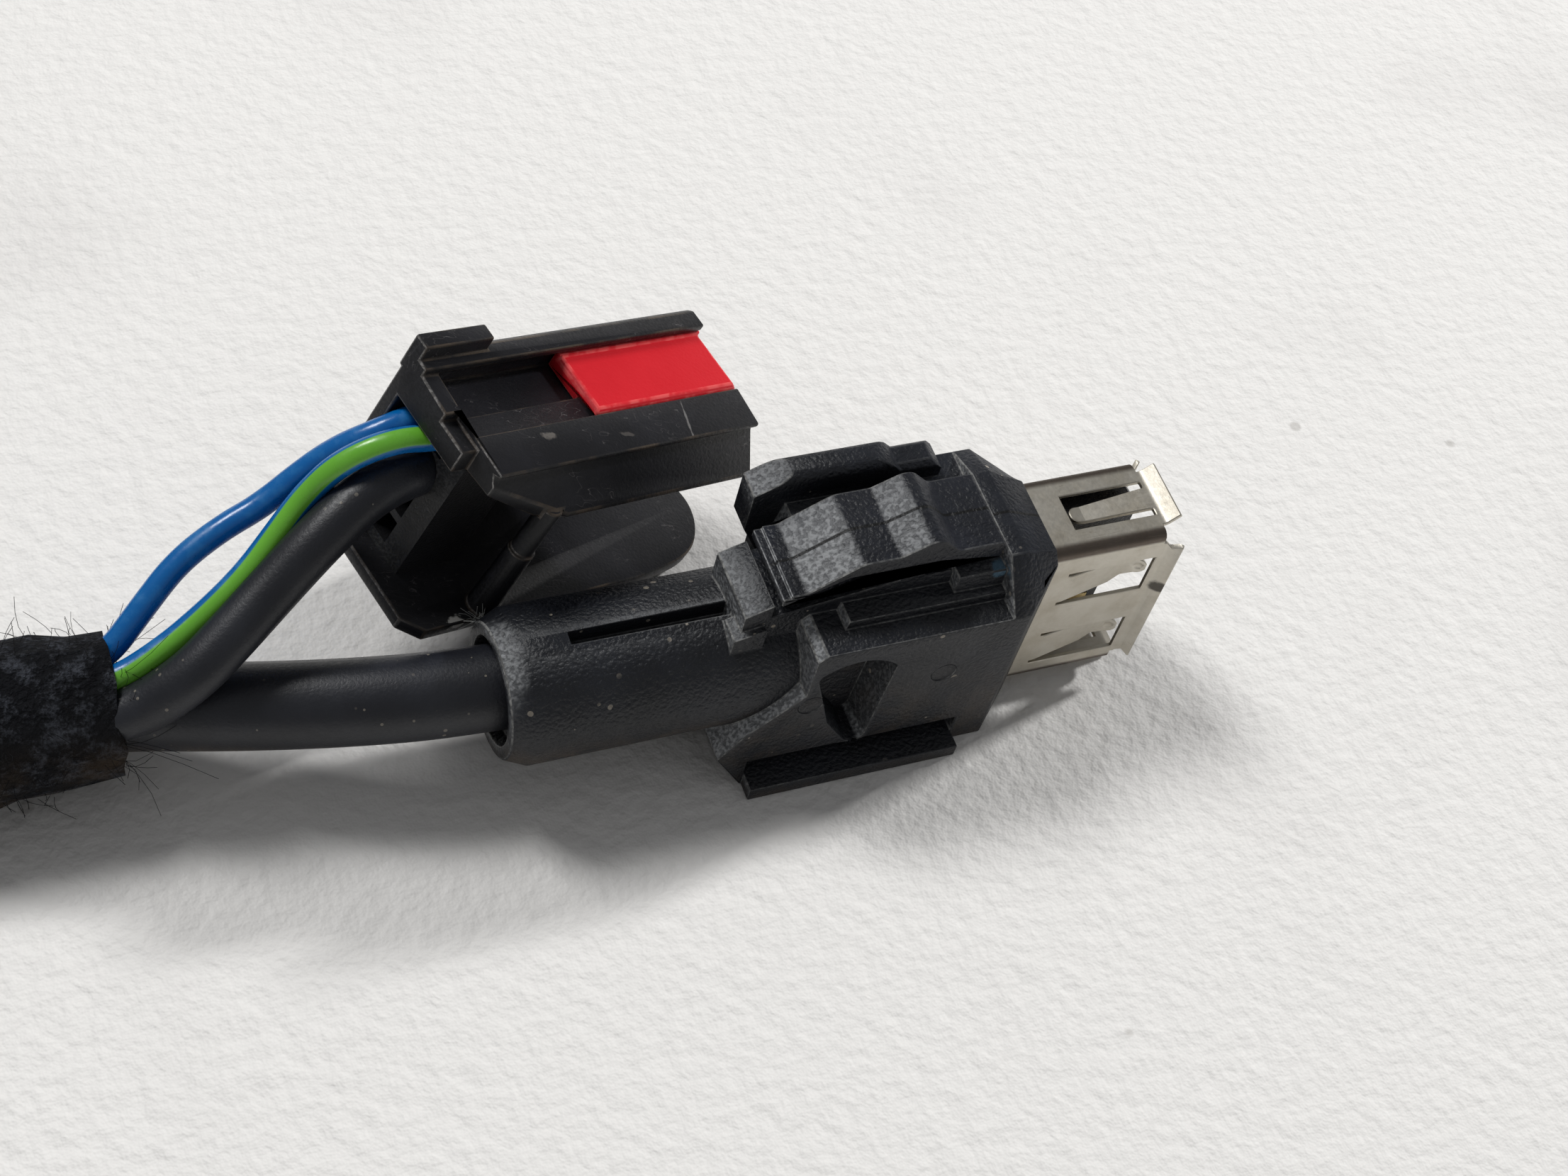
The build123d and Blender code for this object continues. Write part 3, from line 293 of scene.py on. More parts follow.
# Thin cable: shielded lead to the module connector, the same jacket in 3 mm. It lies over the USB
# cable where both come out of the tape, and is held too high for the dust.
thin_cable_diameter = 0.003
thin_cable_dust_level = -0.0090
thin_cable_route = (
    (-0.0698, 0.0042, -0.0018),
    (-0.0654, 0.0038, -0.0015),
    (-0.0612, 0.0030, -0.0007),
    (-0.0580, 0.0030, 0.0018),
    (-0.0553, 0.0044, 0.0034),
    (-0.0527, 0.0059, 0.0049),
    (-0.0499, 0.0073, 0.0068),
    (-0.0469, 0.0089, 0.0081),
    (-0.043683, 0.010049, 0.008102),
    (-0.040551, 0.011036, 0.006891),
)
thin_cable_jacket = jacket_material("thin_cable_jacket", thin_cable_dust_level)
thin_cable = add_cord("thin_cable_run", thin_cable_route, thin_cable_diameter, thin_cable_jacket)
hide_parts("thin_cable")
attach(thin_cable, "harness")

# Two single wires to the module connector in glossy insulation, one blue and one blue with a green
# stripe that was extruded into it and turns slowly round the wire.
wire_diameter = 0.0015
striped_wire_route = (
    (-0.0694, 0.0048, -0.0004),
    (-0.0654, 0.0046, 0.0001),
    (-0.0617, 0.0046, 0.0006),
    (-0.0590, 0.0052, 0.0018),
    (-0.0566, 0.0061, 0.0030),
    (-0.0541, 0.0072, 0.0045),
    (-0.0520, 0.0086, 0.0060),
    (-0.0502, 0.0097, 0.0076),
    (-0.0483, 0.0098, 0.0100),
    (-0.0454, 0.0098, 0.0112),
    (-0.042764, 0.009979, 0.010430),
    (-0.040079, 0.010825, 0.009392),
)
blue_wire_route = (
    (-0.0694, 0.0062, -0.0010),
    (-0.0654, 0.0062, -0.0006),
    (-0.0619, 0.0065, -0.0001),
    (-0.0594, 0.0081, 0.0020),
    (-0.0572, 0.0096, 0.0035),
    (-0.0545, 0.0105, 0.0048),
    (-0.0522, 0.0111, 0.0054),
    (-0.0498, 0.0116, 0.0072),
    (-0.0479, 0.0115, 0.0090),
    (-0.0458, 0.0112, 0.0103),
    (-0.043242, 0.011705, 0.010592),
    (-0.040557, 0.012551, 0.009554),
)
wire_blue = (0.0, 0.135, 0.44, 1)
wire_bloom = (0.03, 0.24, 0.56, 1)
stripe_green = (0.17, 0.52, 0.045, 1)
stripe_share = 0.28
stripe_edge = 0.03
stripe_start = 0.235
stripe_twist = 0.15
merge_distance = 0.000001
tube_smooth_angle = radians(60)


def insulation_material(name, striped):
    """Blue insulation with a dull bloom in patches, and the green stripe on the wire's own map."""
    material, tree, shader, place = bare_material(name, 0.3)
    point = place.outputs["Object"]
    bloom = step_from(tree, noise_at(tree, point, 700.0, 4.0, 0.6), 0.45, 0.75)
    colour = mix_colour(tree, product(tree, bloom, 0.55), wire_blue, wire_bloom)
    if striped:
        own_map = axes_of(tree, place.outputs["UV"])
        twisted = calculated(tree, "MULTIPLY_ADD", own_map["X"], stripe_twist, -stripe_start)
        round_wire = calculated(tree, "ADD", own_map["Y"], twisted)
        turned = calculated(tree, "FRACT", calculated(tree, "ADD", round_wire, 1.0))
        first_edge = step_from(tree, turned, 0.0, stripe_edge)
        last_edge = step_from(tree, turned, stripe_share, stripe_share - stripe_edge)
        colour = mix_colour(tree, product(tree, first_edge, last_edge), colour, stripe_green)
    dress(tree, shader, colour, calculated(tree, "MULTIPLY_ADD", bloom, 0.25, 0.24))
    raise_relief(tree, shader, noise_at(tree, point, 2600.0, 2.0), 0.00001)
    return material


def line_of(cord_object):
    """Points along a cord's own spline, close together."""
    bare = cord_object.data.copy()
    bare.bevel_depth = 0.0
    bare_object = bpy.data.objects.new("bare_line", bare)
    scene.collection.objects.link(bare_object)
    bpy.context.view_layer.update()
    line = bpy.data.meshes.new_from_object(bare_object)
    points = [tuple(vertex.co) for vertex in line.vertices]
    bpy.data.objects.remove(bare_object)
    bpy.data.curves.remove(bare)
    bpy.data.meshes.remove(line)
    return points


def select_only(piece):
    """Leaves one piece selected and active."""
    bpy.ops.object.select_all(action="DESELECT")
    piece.select_set(True)
    bpy.context.view_layer.objects.active = piece


def tube_from(cord_object, name):
    """The cord as a mesh tube with its own map: x along it and y round it."""
    bpy.context.view_layer.update()
    tube = bpy.data.objects.new(name, bpy.data.meshes.new_from_object(cord_object))
    scene.collection.objects.link(tube)
    bpy.data.objects.remove(cord_object)
    select_only(tube)
    bpy.ops.object.mode_set(mode="EDIT")
    bpy.ops.mesh.select_all(action="SELECT")
    bpy.ops.mesh.remove_doubles(threshold=merge_distance)
    bpy.ops.object.mode_set(mode="OBJECT")
    bpy.ops.object.shade_smooth_by_angle(angle=tube_smooth_angle)
    return tube


blue_insulation = insulation_material("blue_insulation", False)
striped_insulation = insulation_material("striped_insulation", True)
blue_wire = add_cord("blue_wire_run", blue_wire_route, wire_diameter, blue_insulation)
striped_cord = add_cord("striped_cord", striped_wire_route, wire_diameter, striped_insulation)
striped_line = line_of(striped_cord)
striped_wire = tube_from(striped_cord, "striped_wire_run")
for wire, node in ((striped_wire, "wire_blue_green"), (blue_wire, "wire_blue")):
    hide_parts(node)
    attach(wire, "harness")

# Taped bundle: fleece tape wound round the cables, its end worked down round the wires. The stretch
# that the photograph doesn't show lies coiled in two flat turns just outside the view.
bundle_diameter = 0.0098
bundle_length = 0.75
bundle_level = -0.0026
tape_end_rise = 0.00025
tape_end_radius = 0.84
coil_centre = (-0.1266, 0.0624)
coil_radius = 0.0580
coil_move_in = 0.0102
coil_start_angle = -90
coil_point_angle = 15
coil_points = 48
move_in_after = 375
move_in_over = 75
bundle_route = [
    (-0.0617, 0.0050, bundle_level + tape_end_rise),
    (-0.0740, 0.0056, bundle_level),
    (-0.0890, 0.0053, bundle_level),
    (-0.1066, 0.0048, bundle_level),
]
for point_number in range(coil_points):
    turn = coil_start_angle - coil_point_angle * point_number
    moved_in = min(max((-turn - move_in_after) / move_in_over, 0), 1)
    radius = coil_radius - coil_move_in * moved_in
    x = coil_centre[0] + radius * cos(radians(turn))
    y = coil_centre[1] + radius * sin(radians(turn))
    bundle_route.append((x, y, bundle_level))
for x, y in ((0.005, -0.0474), (-0.009, -0.0454), (-0.0242, -0.0354), (-0.0314, -0.0170), (-0.0282, -0.0040)):
    bundle_route.append((coil_centre[0] + x, coil_centre[1] + y, bundle_level))
wrap_pitch = 0.011
lump_size = 0.0017
lump_height = 0.0009
fleece_relief = 0.0011
fleece_black = (0.0040, 0.0045, 0.0065, 1)
fleece_lump_highlight = (0.070, 0.076, 0.092, 1)
fleece_dirt = (0.075, 0.048, 0.026, 1)


def fleece_material(name, length):
    """Black fleece tape: matted fibres in lumps with a painted highlight on their tops, the step of each
    wrap, and brown dirt low down.
    """
    material, tree, shader, place = bare_material(name, 0.92)
    point = place.outputs["Object"]
    shader.inputs["Specular IOR Level"].default_value = 0.25
    lumps = noise_at(tree, point, 780.0, 3.0, 0.6)
    fibres = noise_at(tree, point, 4200.0, 3.0, 0.7)
    weave = shader_node(tree, "ShaderNodeTexVoronoi", {"Vector": point, "Scale": 2100.0})
    own_map = axes_of(tree, place.outputs["UV"])
    wraps = calculated(tree, "MULTIPLY_ADD", own_map["X"], length / wrap_pitch, own_map["Y"])
    wraps = calculated(tree, "FRACT", wraps)
    wrap_step = product(tree, step_from(tree, wraps, 0.0, 0.06), step_from(tree, wraps, 1.0, 0.2), 0.5)
    height = calculated(tree, "ADD", product(tree, lumps, 0.8), product(tree, fibres, 0.35))
    height = calculated(tree, "SUBTRACT", height, product(tree, weave.outputs["Distance"], 0.25))
    height = calculated(tree, "ADD", height, wrap_step)
    # Painted highlight: the raised lumps and fibres are greyer, standing in for light on their tops.
    lump_highlight = calculated(tree, "ADD", product(tree, lumps, 0.6), product(tree, fibres, 0.4))
    colour = mix_colour(tree, step_from(tree, lump_highlight, 0.47, 0.68), fleece_black, fleece_lump_highlight)
    low_side = step_from(tree, axes_of(tree, place.outputs["Normal"])["Z"], 0.75, 0.15)
    dirt = product(tree, low_side, step_from(tree, noise_at(tree, point, 330.0, 4.0, 0.6), 0.36, 0.66))
    colour = mix_colour(tree, product(tree, dirt, 0.5), colour, fleece_dirt)
    dress(tree, shader, colour)
    raise_relief(tree, shader, height, fleece_relief)
    return material


fleece = fleece_material("fleece_tape", bundle_length)
bundle_cord = add_cord("bundle_cord", bundle_route, bundle_diameter, fleece, (tape_end_radius,))
bundle_line = line_of(bundle_cord)
bundle = tube_from(bundle_cord, "taped_bundle")
fleece_lumps = bpy.data.textures.new("fleece_lumps", "CLOUDS")
fleece_lumps.noise_scale = lump_size
fleece_lumps.noise_depth = 2
select_only(bundle)
bundle_lift = bundle.modifiers.new("lumps", "DISPLACE")
bundle_lift.texture = fleece_lumps
bundle_lift.texture_coords = "LOCAL"
bundle_lift.strength = lump_height
bpy.ops.object.modifier_apply(modifier=bundle_lift.name)
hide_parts("tape_end", "harness_bundle", "harness_coil", "harness_tail")
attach(bundle, "harness")

# Fuzz: single fibres of the fleece that stand out of the tape, more than half of them on its first
# stretch, and longer ones round its cut end. They are rooted under its lumps.
fuzz_thickness = 0.000032
fibre_bend = 0.8
fibre_shares = (0.0, 0.35, 0.7, 1.0)
fuzz_root_depth = 0.0004
fuzz_count = 1300
fuzz_near_count = 761
fuzz_near_steps = 34
end_fuzz_count = 46
end_fuzz_ring = 0.0035
floor_clearance = 0.00005
upward = Vector((0, 0, 1))
random.seed(7)


def fibre(root, way, reach):
    """Four points of one bent fibre."""
    bend = Vector((random.gauss(0, 1), random.gauss(0, 1), random.gauss(0, 1))).normalized()
    return [root + way * reach * share + bend * reach * fibre_bend * share * share for share in fibre_shares]


def fibres_piece(name, strands, material):
    """Thin bent fibres as one mesh."""
    curve = bpy.data.curves.new(name, "CURVE")
    curve.dimensions = "3D"
    curve.bevel_depth = fuzz_thickness / 2
    curve.bevel_resolution = 0
    curve.use_fill_caps = True
    for strand in strands:
        spline = curve.splines.new("POLY")
        spline.points.add(len(strand) - 1)
        for point, place in zip(spline.points, strand):
            point.co = (*place, 1)
    curve.materials.append(material)
    drawn = bpy.data.objects.new("drawn_fibres", curve)
    scene.collection.objects.link(drawn)
    return tube_from(drawn, name)


def above_floor(point):
    """A point lifted to just over the floor where it would lie lower."""
    return Vector((point.x, point.y, max(point.z, floor_level + floor_clearance)))


strands = []
for strand_number in range(fuzz_count):
    steps = fuzz_near_steps if strand_number < fuzz_near_count else len(bundle_line) - 1
    spot = random.randrange(steps)
    here, there = Vector(bundle_line[spot]), Vector(bundle_line[spot + 1])
    run = (there - here).normalized()
    side = run.cross(upward).normalized()
    turn = random.uniform(-0.15, 1.15) * pi
    outward = side * cos(turn) + upward * sin(turn)
    root = here.lerp(there, random.random()) + outward * (bundle_diameter / 2 - fuzz_root_depth)
    way = (outward + run * random.uniform(-0.9, 0.9)).normalized()
    strands.append(fibre(root, way, random.uniform(0.0005, 0.0016)))
for strand_number in range(end_fuzz_count):
    turn = random.uniform(0, 2 * pi)
    root = Vector(bundle_route[0]) + Vector((0, cos(turn), sin(turn))) * end_fuzz_ring
    way = Vector((0.9, 0.5 * cos(turn), 0.5 * sin(turn))).normalized()
    strands.append(fibre(root, way, random.uniform(0.0008, 0.0032)))
fuzz = fibres_piece("tape_fuzz", [[above_floor(point) for point in strand] for strand in strands], fleece)
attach(fuzz, "harness")

# USB socket housing and boot: one black polyamide moulding with a coarse spark-eroded grain. Its
# edges and rear facets are paler, partly rubbed grey and partly painted light from the upper left,
# and brown road dust lies on its lower side.
# Facets that face this way are paler: rubbed wear, and painted light from the upper left.
worn_and_lit_facing = (-0.78, -0.10, 0.62)
seam_black = (0.002, 0.002, 0.002, 1)
seam_half_width = 0.00006
seam_fade = 0.00014
seam_end_fade = 0.0002
housing_edge_radius = 0.00009
flat_angle = radians(1.5)
sharp_angle = radians(32)
moulded_smooth_angle = radians(38)


def moulded_grain_group():
    """The grain that a spark-eroded mould leaves, and a slow change of tone."""
    group, given, made = new_group("moulded_grain", (("Scale", 4000.0),), ("Height", "Tone"))
    point = shader_node(group, "ShaderNodeTexCoord").outputs["Object"]
    sockets = {"Vector": point, "Scale": given["Scale"]}
    rough = shader_node(group, "ShaderNodeTexNoise", {**sockets, "Detail": 3.0})
    pits = shader_node(group, "ShaderNodeTexVoronoi", sockets)
    bumps = product(group, rough.outputs["Fac"], 1.2)
    group.links.new(calculated(group, "MULTIPLY_ADD", pits.outputs["Distance"], -0.35, bumps), made["Height"])
    group.links.new(step_from(group, noise_at(group, point, 160.0, 4.0, 0.6), 0.38, 0.70), made["Tone"])
    return group


def facet_wear_and_light_group():
    """Rubbed wear and painted light on the facets that face one way, broken up by the grain and by patches.
    """
    group, given, made = new_group(
        "facet_wear_and_light",
        (("Facing", (0.0, 0.0, 1.0)), ("Spread", 0.7), ("Grain", 0.5)),
        ("Wear and Light",),
    )
    place = shader_node(group, "ShaderNodeTexCoord")
    sockets = {0: place.outputs["Normal"], 1: given["Facing"]}
    faced = shader_node(group, "ShaderNodeVectorMath", sockets, operation="DOT_PRODUCT")
    turned = step_from(group, faced.outputs["Value"], given["Spread"], 1.0)
    patches = step_from(group, noise_at(group, place.outputs["Object"], 540.0, 3.0, 0.6), 0.12, 0.48)
    high_spots = calculated(group, "MULTIPLY_ADD", step_from(group, given["Grain"], 0.30, 0.58), 0.62, 0.38)
    group.links.new(product(group, turned, patches, high_spots), made["Wear and Light"])
    return group


def scratches_group():
    """Fine scratches that run one way and stop and start."""
    group, given, made = new_group(
        "scratches",
        (("Stretch", (1.0, 1.0, 1.0)), ("Width", 0.006)),
        ("Scratch",),
    )
    point = shader_node(group, "ShaderNodeTexCoord").outputs["Object"]
    sockets = {0: point, 1: given["Stretch"]}
    drawn = shader_node(group, "ShaderNodeVectorMath", sockets, operation="MULTIPLY").outputs["Vector"]
    away = calculated(group, "ABSOLUTE", calculated(group, "SUBTRACT", noise_at(group, drawn, 1.0, 1.0), 0.5))
    line = step_from(group, away, given["Width"], 0.0)
    broken = step_from(group, noise_at(group, point, 330.0, 2.0), 0.52, 0.60)
    group.links.new(product(group, line, broken), made["Scratch"])
    return group


moulded_grain = moulded_grain_group()
facet_wear_and_light = facet_wear_and_light_group()
scratches = scratches_group()


def moulded_black(name, base, grain_scale, relief, roughness, worn_and_lit, spread):
    """Black moulded plastic. Its colour is given back too, for a piece's own marks to be laid over it."""
    material, tree, shader, place = bare_material(name, roughness)
    shader.inputs["Specular IOR Level"].default_value = 0.42
    grain = shader_node(tree, "ShaderNodeGroup", {"Scale": grain_scale}, node_tree=moulded_grain).outputs
    sockets = {"Facing": worn_and_lit_facing, "Spread": spread, "Grain": grain["Height"]}
    wear_and_light = shader_node(tree, "ShaderNodeGroup", sockets, node_tree=facet_wear_and_light).outputs["Wear and Light"]
    lighter = tuple(tone * 1.9 for tone in base)
    colour = mix_colour(tree, grain["Tone"], (*base, 1), (*lighter, 1))
    # Facets that face the rear and up take the worn colour: partly rubbed wear, partly painted light from the
    # upper left.
    colour = mix_colour(tree, wear_and_light, colour, (*worn_and_lit, 1))
    uneven = calculated(tree, "MULTIPLY_ADD", grain["Height"], 0.22, roughness - 0.10)
    dress(tree, shader, colour, calculated(tree, "MULTIPLY_ADD", wear_and_light, 0.2, uneven))
    raise_relief(tree, shader, grain["Height"], relief)
    return material, tree, shader, place, colour


def spot_share(tree, place, centre, reach, ragged=0.35):
    """1 at the middle of a spot and 0 outside it, with a ragged rim. reach is its half size each way."""
    point = place.outputs["Object"]
    offset = shader_node(tree, "ShaderNodeVectorMath", {0: point, 1: centre}, operation="SUBTRACT").outputs[0]
    scaled = shader_node(tree, "ShaderNodeVectorMath", {0: offset, 1: reach}, operation="DIVIDE").outputs[0]
    away = shader_node(tree, "ShaderNodeVectorMath", {0: scaled}, operation="LENGTH").outputs["Value"]
    torn = calculated(tree, "MULTIPLY_ADD", noise_at(tree, point, 1900.0, 3.0), ragged * 2, -ragged)
    return step_from(tree, calculated(tree, "ADD", away, torn), 1.0, 0.6)


def seam_share(tree, place, low, high):
    """1 along the middle of the top, where the halves of the mould met, from x low to high."""
    point = axes_of(tree, place.outputs["Object"])
    up = axes_of(tree, place.outputs["Normal"])["Z"]
    line = step_from(tree, calculated(tree, "ABSOLUTE", point["Y"]), seam_fade, seam_half_width)
    first_end = step_from(tree, point["X"], low, low + seam_end_fade)
    last_end = step_from(tree, point["X"], high, high - seam_end_fade)
    return product(tree, line, product(tree, first_end, last_end), step_from(tree, up, 0.1, 0.3))


def softened(name, node, radius, face, edge, body="harness", segments=2):
    """A CAD node's mesh copied, merged, and given the small radii that its sharp edges really have."""
    piece = bpy.data.objects.new(name, nodes[node].data.copy())
    scene.collection.objects.link(piece)
    select_only(piece)
    piece.data.materials.clear()
    piece.data.materials.append(face)
    piece.data.materials.append(edge)
    bpy.ops.mesh.customdata_custom_splitnormals_clear()
    bpy.ops.object.mode_set(mode="EDIT")
    bpy.ops.mesh.select_all(action="SELECT")
    bpy.ops.mesh.remove_doubles(threshold=merge_distance)
    bpy.ops.mesh.dissolve_limited(angle_limit=flat_angle)
    bpy.ops.object.mode_set(mode="OBJECT")
    radii = piece.modifiers.new("edge_radii", "BEVEL")
    radii.width = radius
    radii.segments = segments
    radii.limit_method = "ANGLE"
    radii.angle_limit = sharp_angle
    radii.use_clamp_overlap = False
    radii.material = 1
    bpy.ops.object.modifier_apply(modifier=radii.name)
    bpy.ops.object.shade_smooth_by_angle(angle=moulded_smooth_angle)
    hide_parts(node)
    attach(piece, body)
    return piece


housing_plastic, housing_tree, housing_shader, housing_place, housing_colour = moulded_black(
    "housing_plastic",
    base=(0.0070, 0.0080, 0.0108),
    grain_scale=4000.0,
    relief=0.00009,
    roughness=0.46,
    worn_and_lit=(0.33, 0.34, 0.35),
    spread=0.72,
)
scuff = spot_share(housing_tree, housing_place, (-0.0125, -0.0031, 0.0067), (0.0006, 0.0010, 0.0006))
scuff_blue = (0.07, 0.15, 0.22, 1)
housing_colour = mix_colour(housing_tree, product(housing_tree, scuff, 0.8), housing_colour, scuff_blue)
housing_seam = seam_share(housing_tree, housing_place, -0.0125, 0.0005)
housing_colour = mix_colour(housing_tree, housing_seam, housing_colour, seam_black)
housing_colour = add_dust(
    housing_tree, housing_colour, level=-0.0012, depth=0.0030, amount=0.55, grains=1500.0, grain_amount=0.6
)
dress(housing_tree, housing_shader, housing_colour)
# The housing's edges: a little paler than its faces, and paler still where they face the rear and up, partly
# rubbed wear and partly painted light.
housing_edge = moulded_black(
    "housing_worn_and_lit_edge",
    base=(0.0125, 0.0135, 0.0165),
    grain_scale=3600.0,
    relief=0.00006,
    roughness=0.50,
    worn_and_lit=(0.30, 0.30, 0.29),
    spread=0.45,
)[0]
softened("usb_housing_moulding", "usb_housing", housing_edge_radius, housing_plastic, housing_edge)

# Latch lever: a separate node of the same black, rocking on the web under its middle, between the
# cheeks of the housing. Its ramp and hump are paler, partly rubbed grey and partly painted light
# from the upper left, and the mould's seam runs along it.
latch_edge_radius = 0.00014
latch_plastic, latch_tree, latch_shader, latch_place, latch_colour = moulded_black(
    "latch_plastic",
    base=(0.0080, 0.0090, 0.0125),
    grain_scale=3500.0,
    relief=0.00011,
    roughness=0.46,
    worn_and_lit=(0.42, 0.43, 0.44),
    spread=0.72,
)
latch_seam = seam_share(latch_tree, latch_place, -0.0260, 0.0)
latch_colour = mix_colour(latch_tree, latch_seam, latch_colour, seam_black)
nick = spot_share(latch_tree, latch_place, (-0.0186, 0.0009, 0.0078), (0.0002, 0.00035, 0.0009), ragged=0.2)
nick_grey = (0.35, 0.36, 0.36, 1)
latch_colour = mix_colour(latch_tree, product(latch_tree, nick, 0.7), latch_colour, nick_grey)
dress(latch_tree, latch_shader, latch_colour)
softened("latch_lever", "usb_latch", latch_edge_radius, latch_plastic, housing_edge, body="usb_latch")

# USB shell: cut and bent from thin nickel-plated steel strip and held in the housing. It is dull and
# warm with age, with painted shade along its bends, and one dark smudge on the lip of its near side.
shell_edge_radius = 0.00005
nickel_clean = (0.66, 0.625, 0.55, 1)
nickel_tarnished = (0.52, 0.475, 0.39, 1)
nickel_bend_shade = (0.10, 0.075, 0.06, 1)
nickel_smudge = (0.05, 0.045, 0.04, 1)
nickel_scratch = (0.30, 0.26, 0.2, 1)
shell_nickel, nickel_tree, nickel_shader, nickel_place = bare_material("aged_nickel", 0.34, 1.0)
nickel_point = nickel_place.outputs["Object"]
tarnish = step_from(nickel_tree, noise_at(nickel_tree, nickel_point, 260.0, 5.0, 0.65), 0.36, 0.72)
nickel_colour = mix_colour(nickel_tree, tarnish, nickel_clean, nickel_tarnished)
nickel_axes = axes_of(nickel_tree, nickel_point)
# Painted shade: darker brown where the walls turn round the shell's folded corners.
outer_height = step_from(nickel_tree, calculated(nickel_tree, "ABSOLUTE", nickel_axes["Z"]), 0.00575, 0.00605)
outer_width = step_from(nickel_tree, calculated(nickel_tree, "ABSOLUTE", nickel_axes["Y"]), 0.00200, 0.00240)
bend = product(nickel_tree, outer_height, outer_width, 0.9)
nickel_colour = mix_colour(nickel_tree, bend, nickel_colour, nickel_bend_shade)
smudge = spot_share(nickel_tree, nickel_place, (-0.0002, -0.0033, 0.0016), (0.0009, 0.0010, 0.0006))
nickel_colour = mix_colour(nickel_tree, product(nickel_tree, smudge, 0.85), nickel_colour, nickel_smudge)
scratch_sockets = {"Stretch": (260.0, 5200.0, 5200.0), "Width": 0.02}
strip_marks = shader_node(nickel_tree, "ShaderNodeGroup", scratch_sockets, node_tree=scratches)
strip_scratch = product(nickel_tree, strip_marks.outputs["Scratch"], 0.35)
nickel_colour = mix_colour(nickel_tree, strip_scratch, nickel_colour, nickel_scratch)
nickel_grain = noise_at(nickel_tree, nickel_point, 3000.0, 3.0, 0.6)
nickel_roughness = calculated(nickel_tree, "MULTIPLY_ADD", nickel_grain, 0.25, 0.37)
dress(nickel_tree, nickel_shader, nickel_colour, nickel_roughness)
raise_relief(nickel_tree, nickel_shader, nickel_grain, 0.000012)
softened(
    "usb_shell_strip",
    "usb_shell",
    shell_edge_radius,
    shell_nickel,
    shell_nickel,
    segments=1,
)

# Inside the socket: the tongue's moulding and four plated contact springs. Deep in the module the
# terminal block, its two crimped terminals and the shield's ferrule close its rear.
inner_plastic = moulded_black(
    "inner_plastic",
    base=(0.010, 0.010, 0.011),
    grain_scale=6000.0,
    relief=0.00003,
    roughness=0.40,
    worn_and_lit=(0.05, 0.05, 0.05),
    spread=0.6,
)[0]
contact_gold = (0.80, 0.62, 0.30, 1)
contact_dull = (0.60, 0.44, 0.20, 1)
contact_plate, contact_tree, contact_shader, contact_place = bare_material("contact_plating", 0.28, 1.0)
contact_noise = noise_at(contact_tree, contact_place.outputs["Object"], 900.0, 4.0)
contact_age = step_from(contact_tree, contact_noise, 0.40, 0.70)
contact_colour = mix_colour(contact_tree, contact_age, contact_gold, contact_dull)
contact_roughness = calculated(contact_tree, "MULTIPLY_ADD", contact_age, 0.2, 0.2)
dress(contact_tree, contact_shader, contact_colour, contact_roughness)
tin_bright = (0.62, 0.61, 0.58, 1)
tin_dull = (0.45, 0.44, 0.42, 1)
crimp_tin, tin_tree, tin_shader, tin_place = bare_material("crimp_tin", 0.36, 1.0)
tin_cloud = noise_at(tin_tree, tin_place.outputs["Object"], 1400.0, 4.0)
dress(tin_tree, tin_shader, mix_colour(tin_tree, tin_cloud, tin_bright, tin_dull))
raise_relief(tin_tree, tin_shader, tin_cloud, 0.00002)


def finish_nodes(names, material):
    """Gives carried-over CAD nodes their material."""
    for name in names:
        nodes[name].data.materials.clear()
        nodes[name].data.materials.append(material)


finish_nodes(("usb_insulator", "module_terminal_block"), inner_plastic)
finish_nodes(("usb_contact_1", "usb_contact_2", "usb_contact_3", "usb_contact_4"), contact_plate)
finish_nodes(("module_terminal_1", "module_terminal_2", "cable_ferrule"), crimp_tin)

# Module connector: a smoother black moulding that stands on its oblique base, with brown dirt along
# its edges, pale scratches, and lint and white dust caught at the foot of its pillar.
module_edge_radius = 0.00013
module_origin = Vector((-0.02264, 0.01361, 0.00589))
module_along = Vector((0.89488, 0.28196, -0.34595))
module_up = Vector((0.35781, 0.01004, 0.93374))
module_across = module_up.cross(module_along)
lint_count = 26
white_dust = (0.62, 0.61, 0.57, 1)
pale_scratch = (0.30, 0.29, 0.28, 1)
rear_rub = (0.30, 0.27, 0.24, 1)
middle_rub = (0.22, 0.20, 0.18, 1)
hairline_scratch = (0.16, 0.15, 0.15, 1)
edge_dirt = (0.075, 0.055, 0.038, 1)
lint_dark = (0.14, 0.15, 0.15, 1)
lint_pale = (0.5, 0.5, 0.48, 1)


def module_spot(x, y, z):
    """A point given in millimetres along, across and up the module."""
    return module_origin + (module_along * x + module_across * y + module_up * z) / 1000


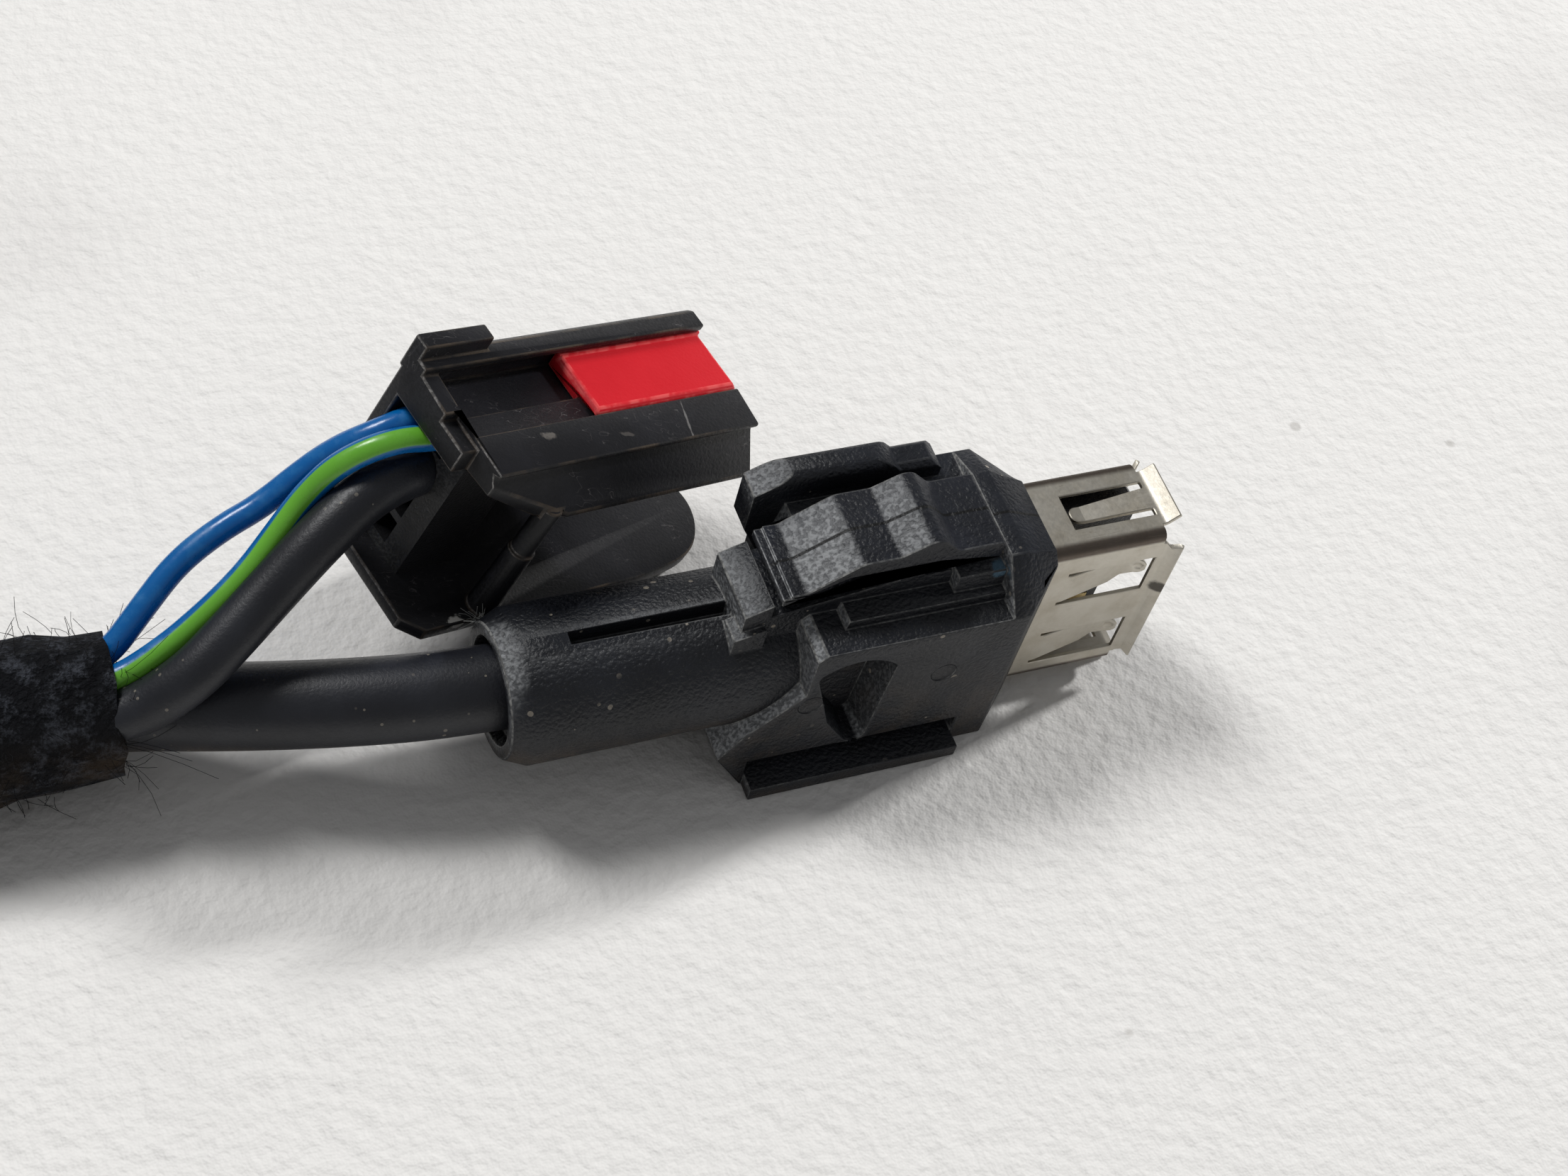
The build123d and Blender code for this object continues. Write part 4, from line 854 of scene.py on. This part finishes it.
module_plastic, module_tree, module_shader, module_place, module_colour = moulded_black(
    "module_plastic",
    base=(0.0060, 0.0060, 0.0075),
    grain_scale=5200.0,
    relief=0.000012,
    roughness=0.46,
    worn_and_lit=(0.030, 0.030, 0.034),
    spread=0.85,
)
hairline_sockets = {"Stretch": (900.0, 2400.0, 900.0), "Width": 0.008}
hairlines = shader_node(module_tree, "ShaderNodeGroup", hairline_sockets, node_tree=scratches)
hairline_share = product(module_tree, hairlines.outputs["Scratch"], 0.5)
module_colour = mix_colour(module_tree, hairline_share, module_colour, hairline_scratch)
for mark_place, mark_reach, mark_amount, mark_colour in (
    ((-18.6, -4.3, -11.9), (0.0008, 0.0005, 0.0005), 0.85, white_dust),
    ((-5.4, -1.4, -0.4), (0.00009, 0.0015, 0.0008), 0.4, pale_scratch),
    ((-16.2, -0.75, -0.3), (0.0006, 0.0003, 0.0006), 0.3, rear_rub),
    ((-10.6, -1.60, -0.4), (0.0007, 0.00016, 0.0006), 0.22, middle_rub),
):
    mark = spot_share(module_tree, module_place, module_spot(*mark_place), mark_reach, ragged=0.9)
    mark = product(module_tree, mark, mark_amount)
    module_colour = mix_colour(module_tree, mark, module_colour, mark_colour)
dress(module_tree, module_shader, module_colour)
# The module's edges: grey where they face the rear and up, partly rubbed wear and partly painted light, with
# brown dirt in patches.
module_edge, rim_tree, rim_shader, rim_place, rim_colour = moulded_black(
    "module_worn_and_lit_edge",
    base=(0.010, 0.0098, 0.0105),
    grain_scale=5200.0,
    relief=0.00002,
    roughness=0.46,
    worn_and_lit=(0.30, 0.29, 0.28),
    spread=0.50,
)
brown = step_from(rim_tree, noise_at(rim_tree, rim_place.outputs["Object"], 420.0, 3.0), 0.42, 0.62)
dress(rim_tree, rim_shader, mix_colour(rim_tree, product(rim_tree, brown, 0.6), rim_colour, edge_dirt))
softened("module_moulding", "module_housing", module_edge_radius, module_plastic, module_edge)
lint_strands = []
for strand_number in range(lint_count):
    root = module_spot(random.uniform(-17.9, -16.9), random.uniform(-5.0, -4.3), -11.9)
    way = Vector((random.gauss(0, 0.6), random.gauss(-0.2, 0.6), 1.0)).normalized()
    lint_strands.append(fibre(root, way, random.uniform(0.0004, 0.0012)))
lint_fibre, lint_tree, lint_shader, lint_place = bare_material("grey_lint", 0.9)
lint_tone = noise_at(lint_tree, lint_place.outputs["Object"], 3000.0)
dress(lint_tree, lint_shader, mix_colour(lint_tree, lint_tone, lint_dark, lint_pale))
lint = fibres_piece("pillar_lint", lint_strands, lint_fibre)
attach(lint, "harness")

# Red slide: the connector position lock, satin red, in the channel along the module's top. Its
# moulded edges are bruised paler.
slide_edge_radius = 0.00012
red_deep = (0.56, 0.006, 0.014, 1)
red_bright = (0.64, 0.012, 0.022, 1)
red_edge_plain = (0.66, 0.018, 0.028, 1)
red_edge_bruised = (0.76, 0.09, 0.09, 1)
slide_red, red_tree, red_shader, red_place = bare_material("slide_red", 0.5)
red_point = red_place.outputs["Object"]
red_cloud = noise_at(red_tree, red_point, 500.0, 4.0, 0.6)
red_fine = noise_at(red_tree, red_point, 5200.0, 2.0)
red_colour = mix_colour(red_tree, red_cloud, red_deep, red_bright)
dress(red_tree, red_shader, red_colour, calculated(red_tree, "MULTIPLY_ADD", red_fine, 0.2, 0.42))
raise_relief(red_tree, red_shader, red_fine, 0.000015)
slide_edge, bruise_tree, bruise_shader, bruise_place = bare_material("slide_bruised_edge", 0.42)
bruise_noise = noise_at(bruise_tree, bruise_place.outputs["Object"], 1300.0, 3.0)
bruises = step_from(bruise_tree, bruise_noise, 0.40, 0.64)
dress(bruise_tree, bruise_shader, mix_colour(bruise_tree, bruises, red_edge_plain, red_edge_bruised))
softened(
    "position_slide",
    "red_slide",
    slide_edge_radius,
    slide_red,
    slide_edge,
    body="red_slide",
)

# Far end of the harness: a plain two-part connector with its contacts at the end of the tape, and
# the nylon tie that holds the coil.
far_housing_radius = 0.00018
far_insert_radius = 0.00012
tie_edge_radius = 0.0002
far_plastic = moulded_black(
    "far_plastic",
    base=(0.010, 0.010, 0.012),
    grain_scale=4200.0,
    relief=0.00005,
    roughness=0.42,
    worn_and_lit=(0.08, 0.08, 0.085),
    spread=0.6,
)[0]
tie_nylon = moulded_black(
    "tie_nylon",
    base=(0.012, 0.012, 0.013),
    grain_scale=2400.0,
    relief=0.00002,
    roughness=0.36,
    worn_and_lit=(0.05, 0.05, 0.05),
    spread=0.7,
)[0]
far_housing = softened("far_connector_housing", "far_housing", far_housing_radius, far_plastic, housing_edge)
far_insert = softened("far_connector_insert", "far_insert", far_insert_radius, inner_plastic, housing_edge)
finish_nodes(("far_contacts",), crimp_tin)
coil_tie = softened("coil_tie_strap", "coil_tie", tie_edge_radius, tie_nylon, tie_nylon)
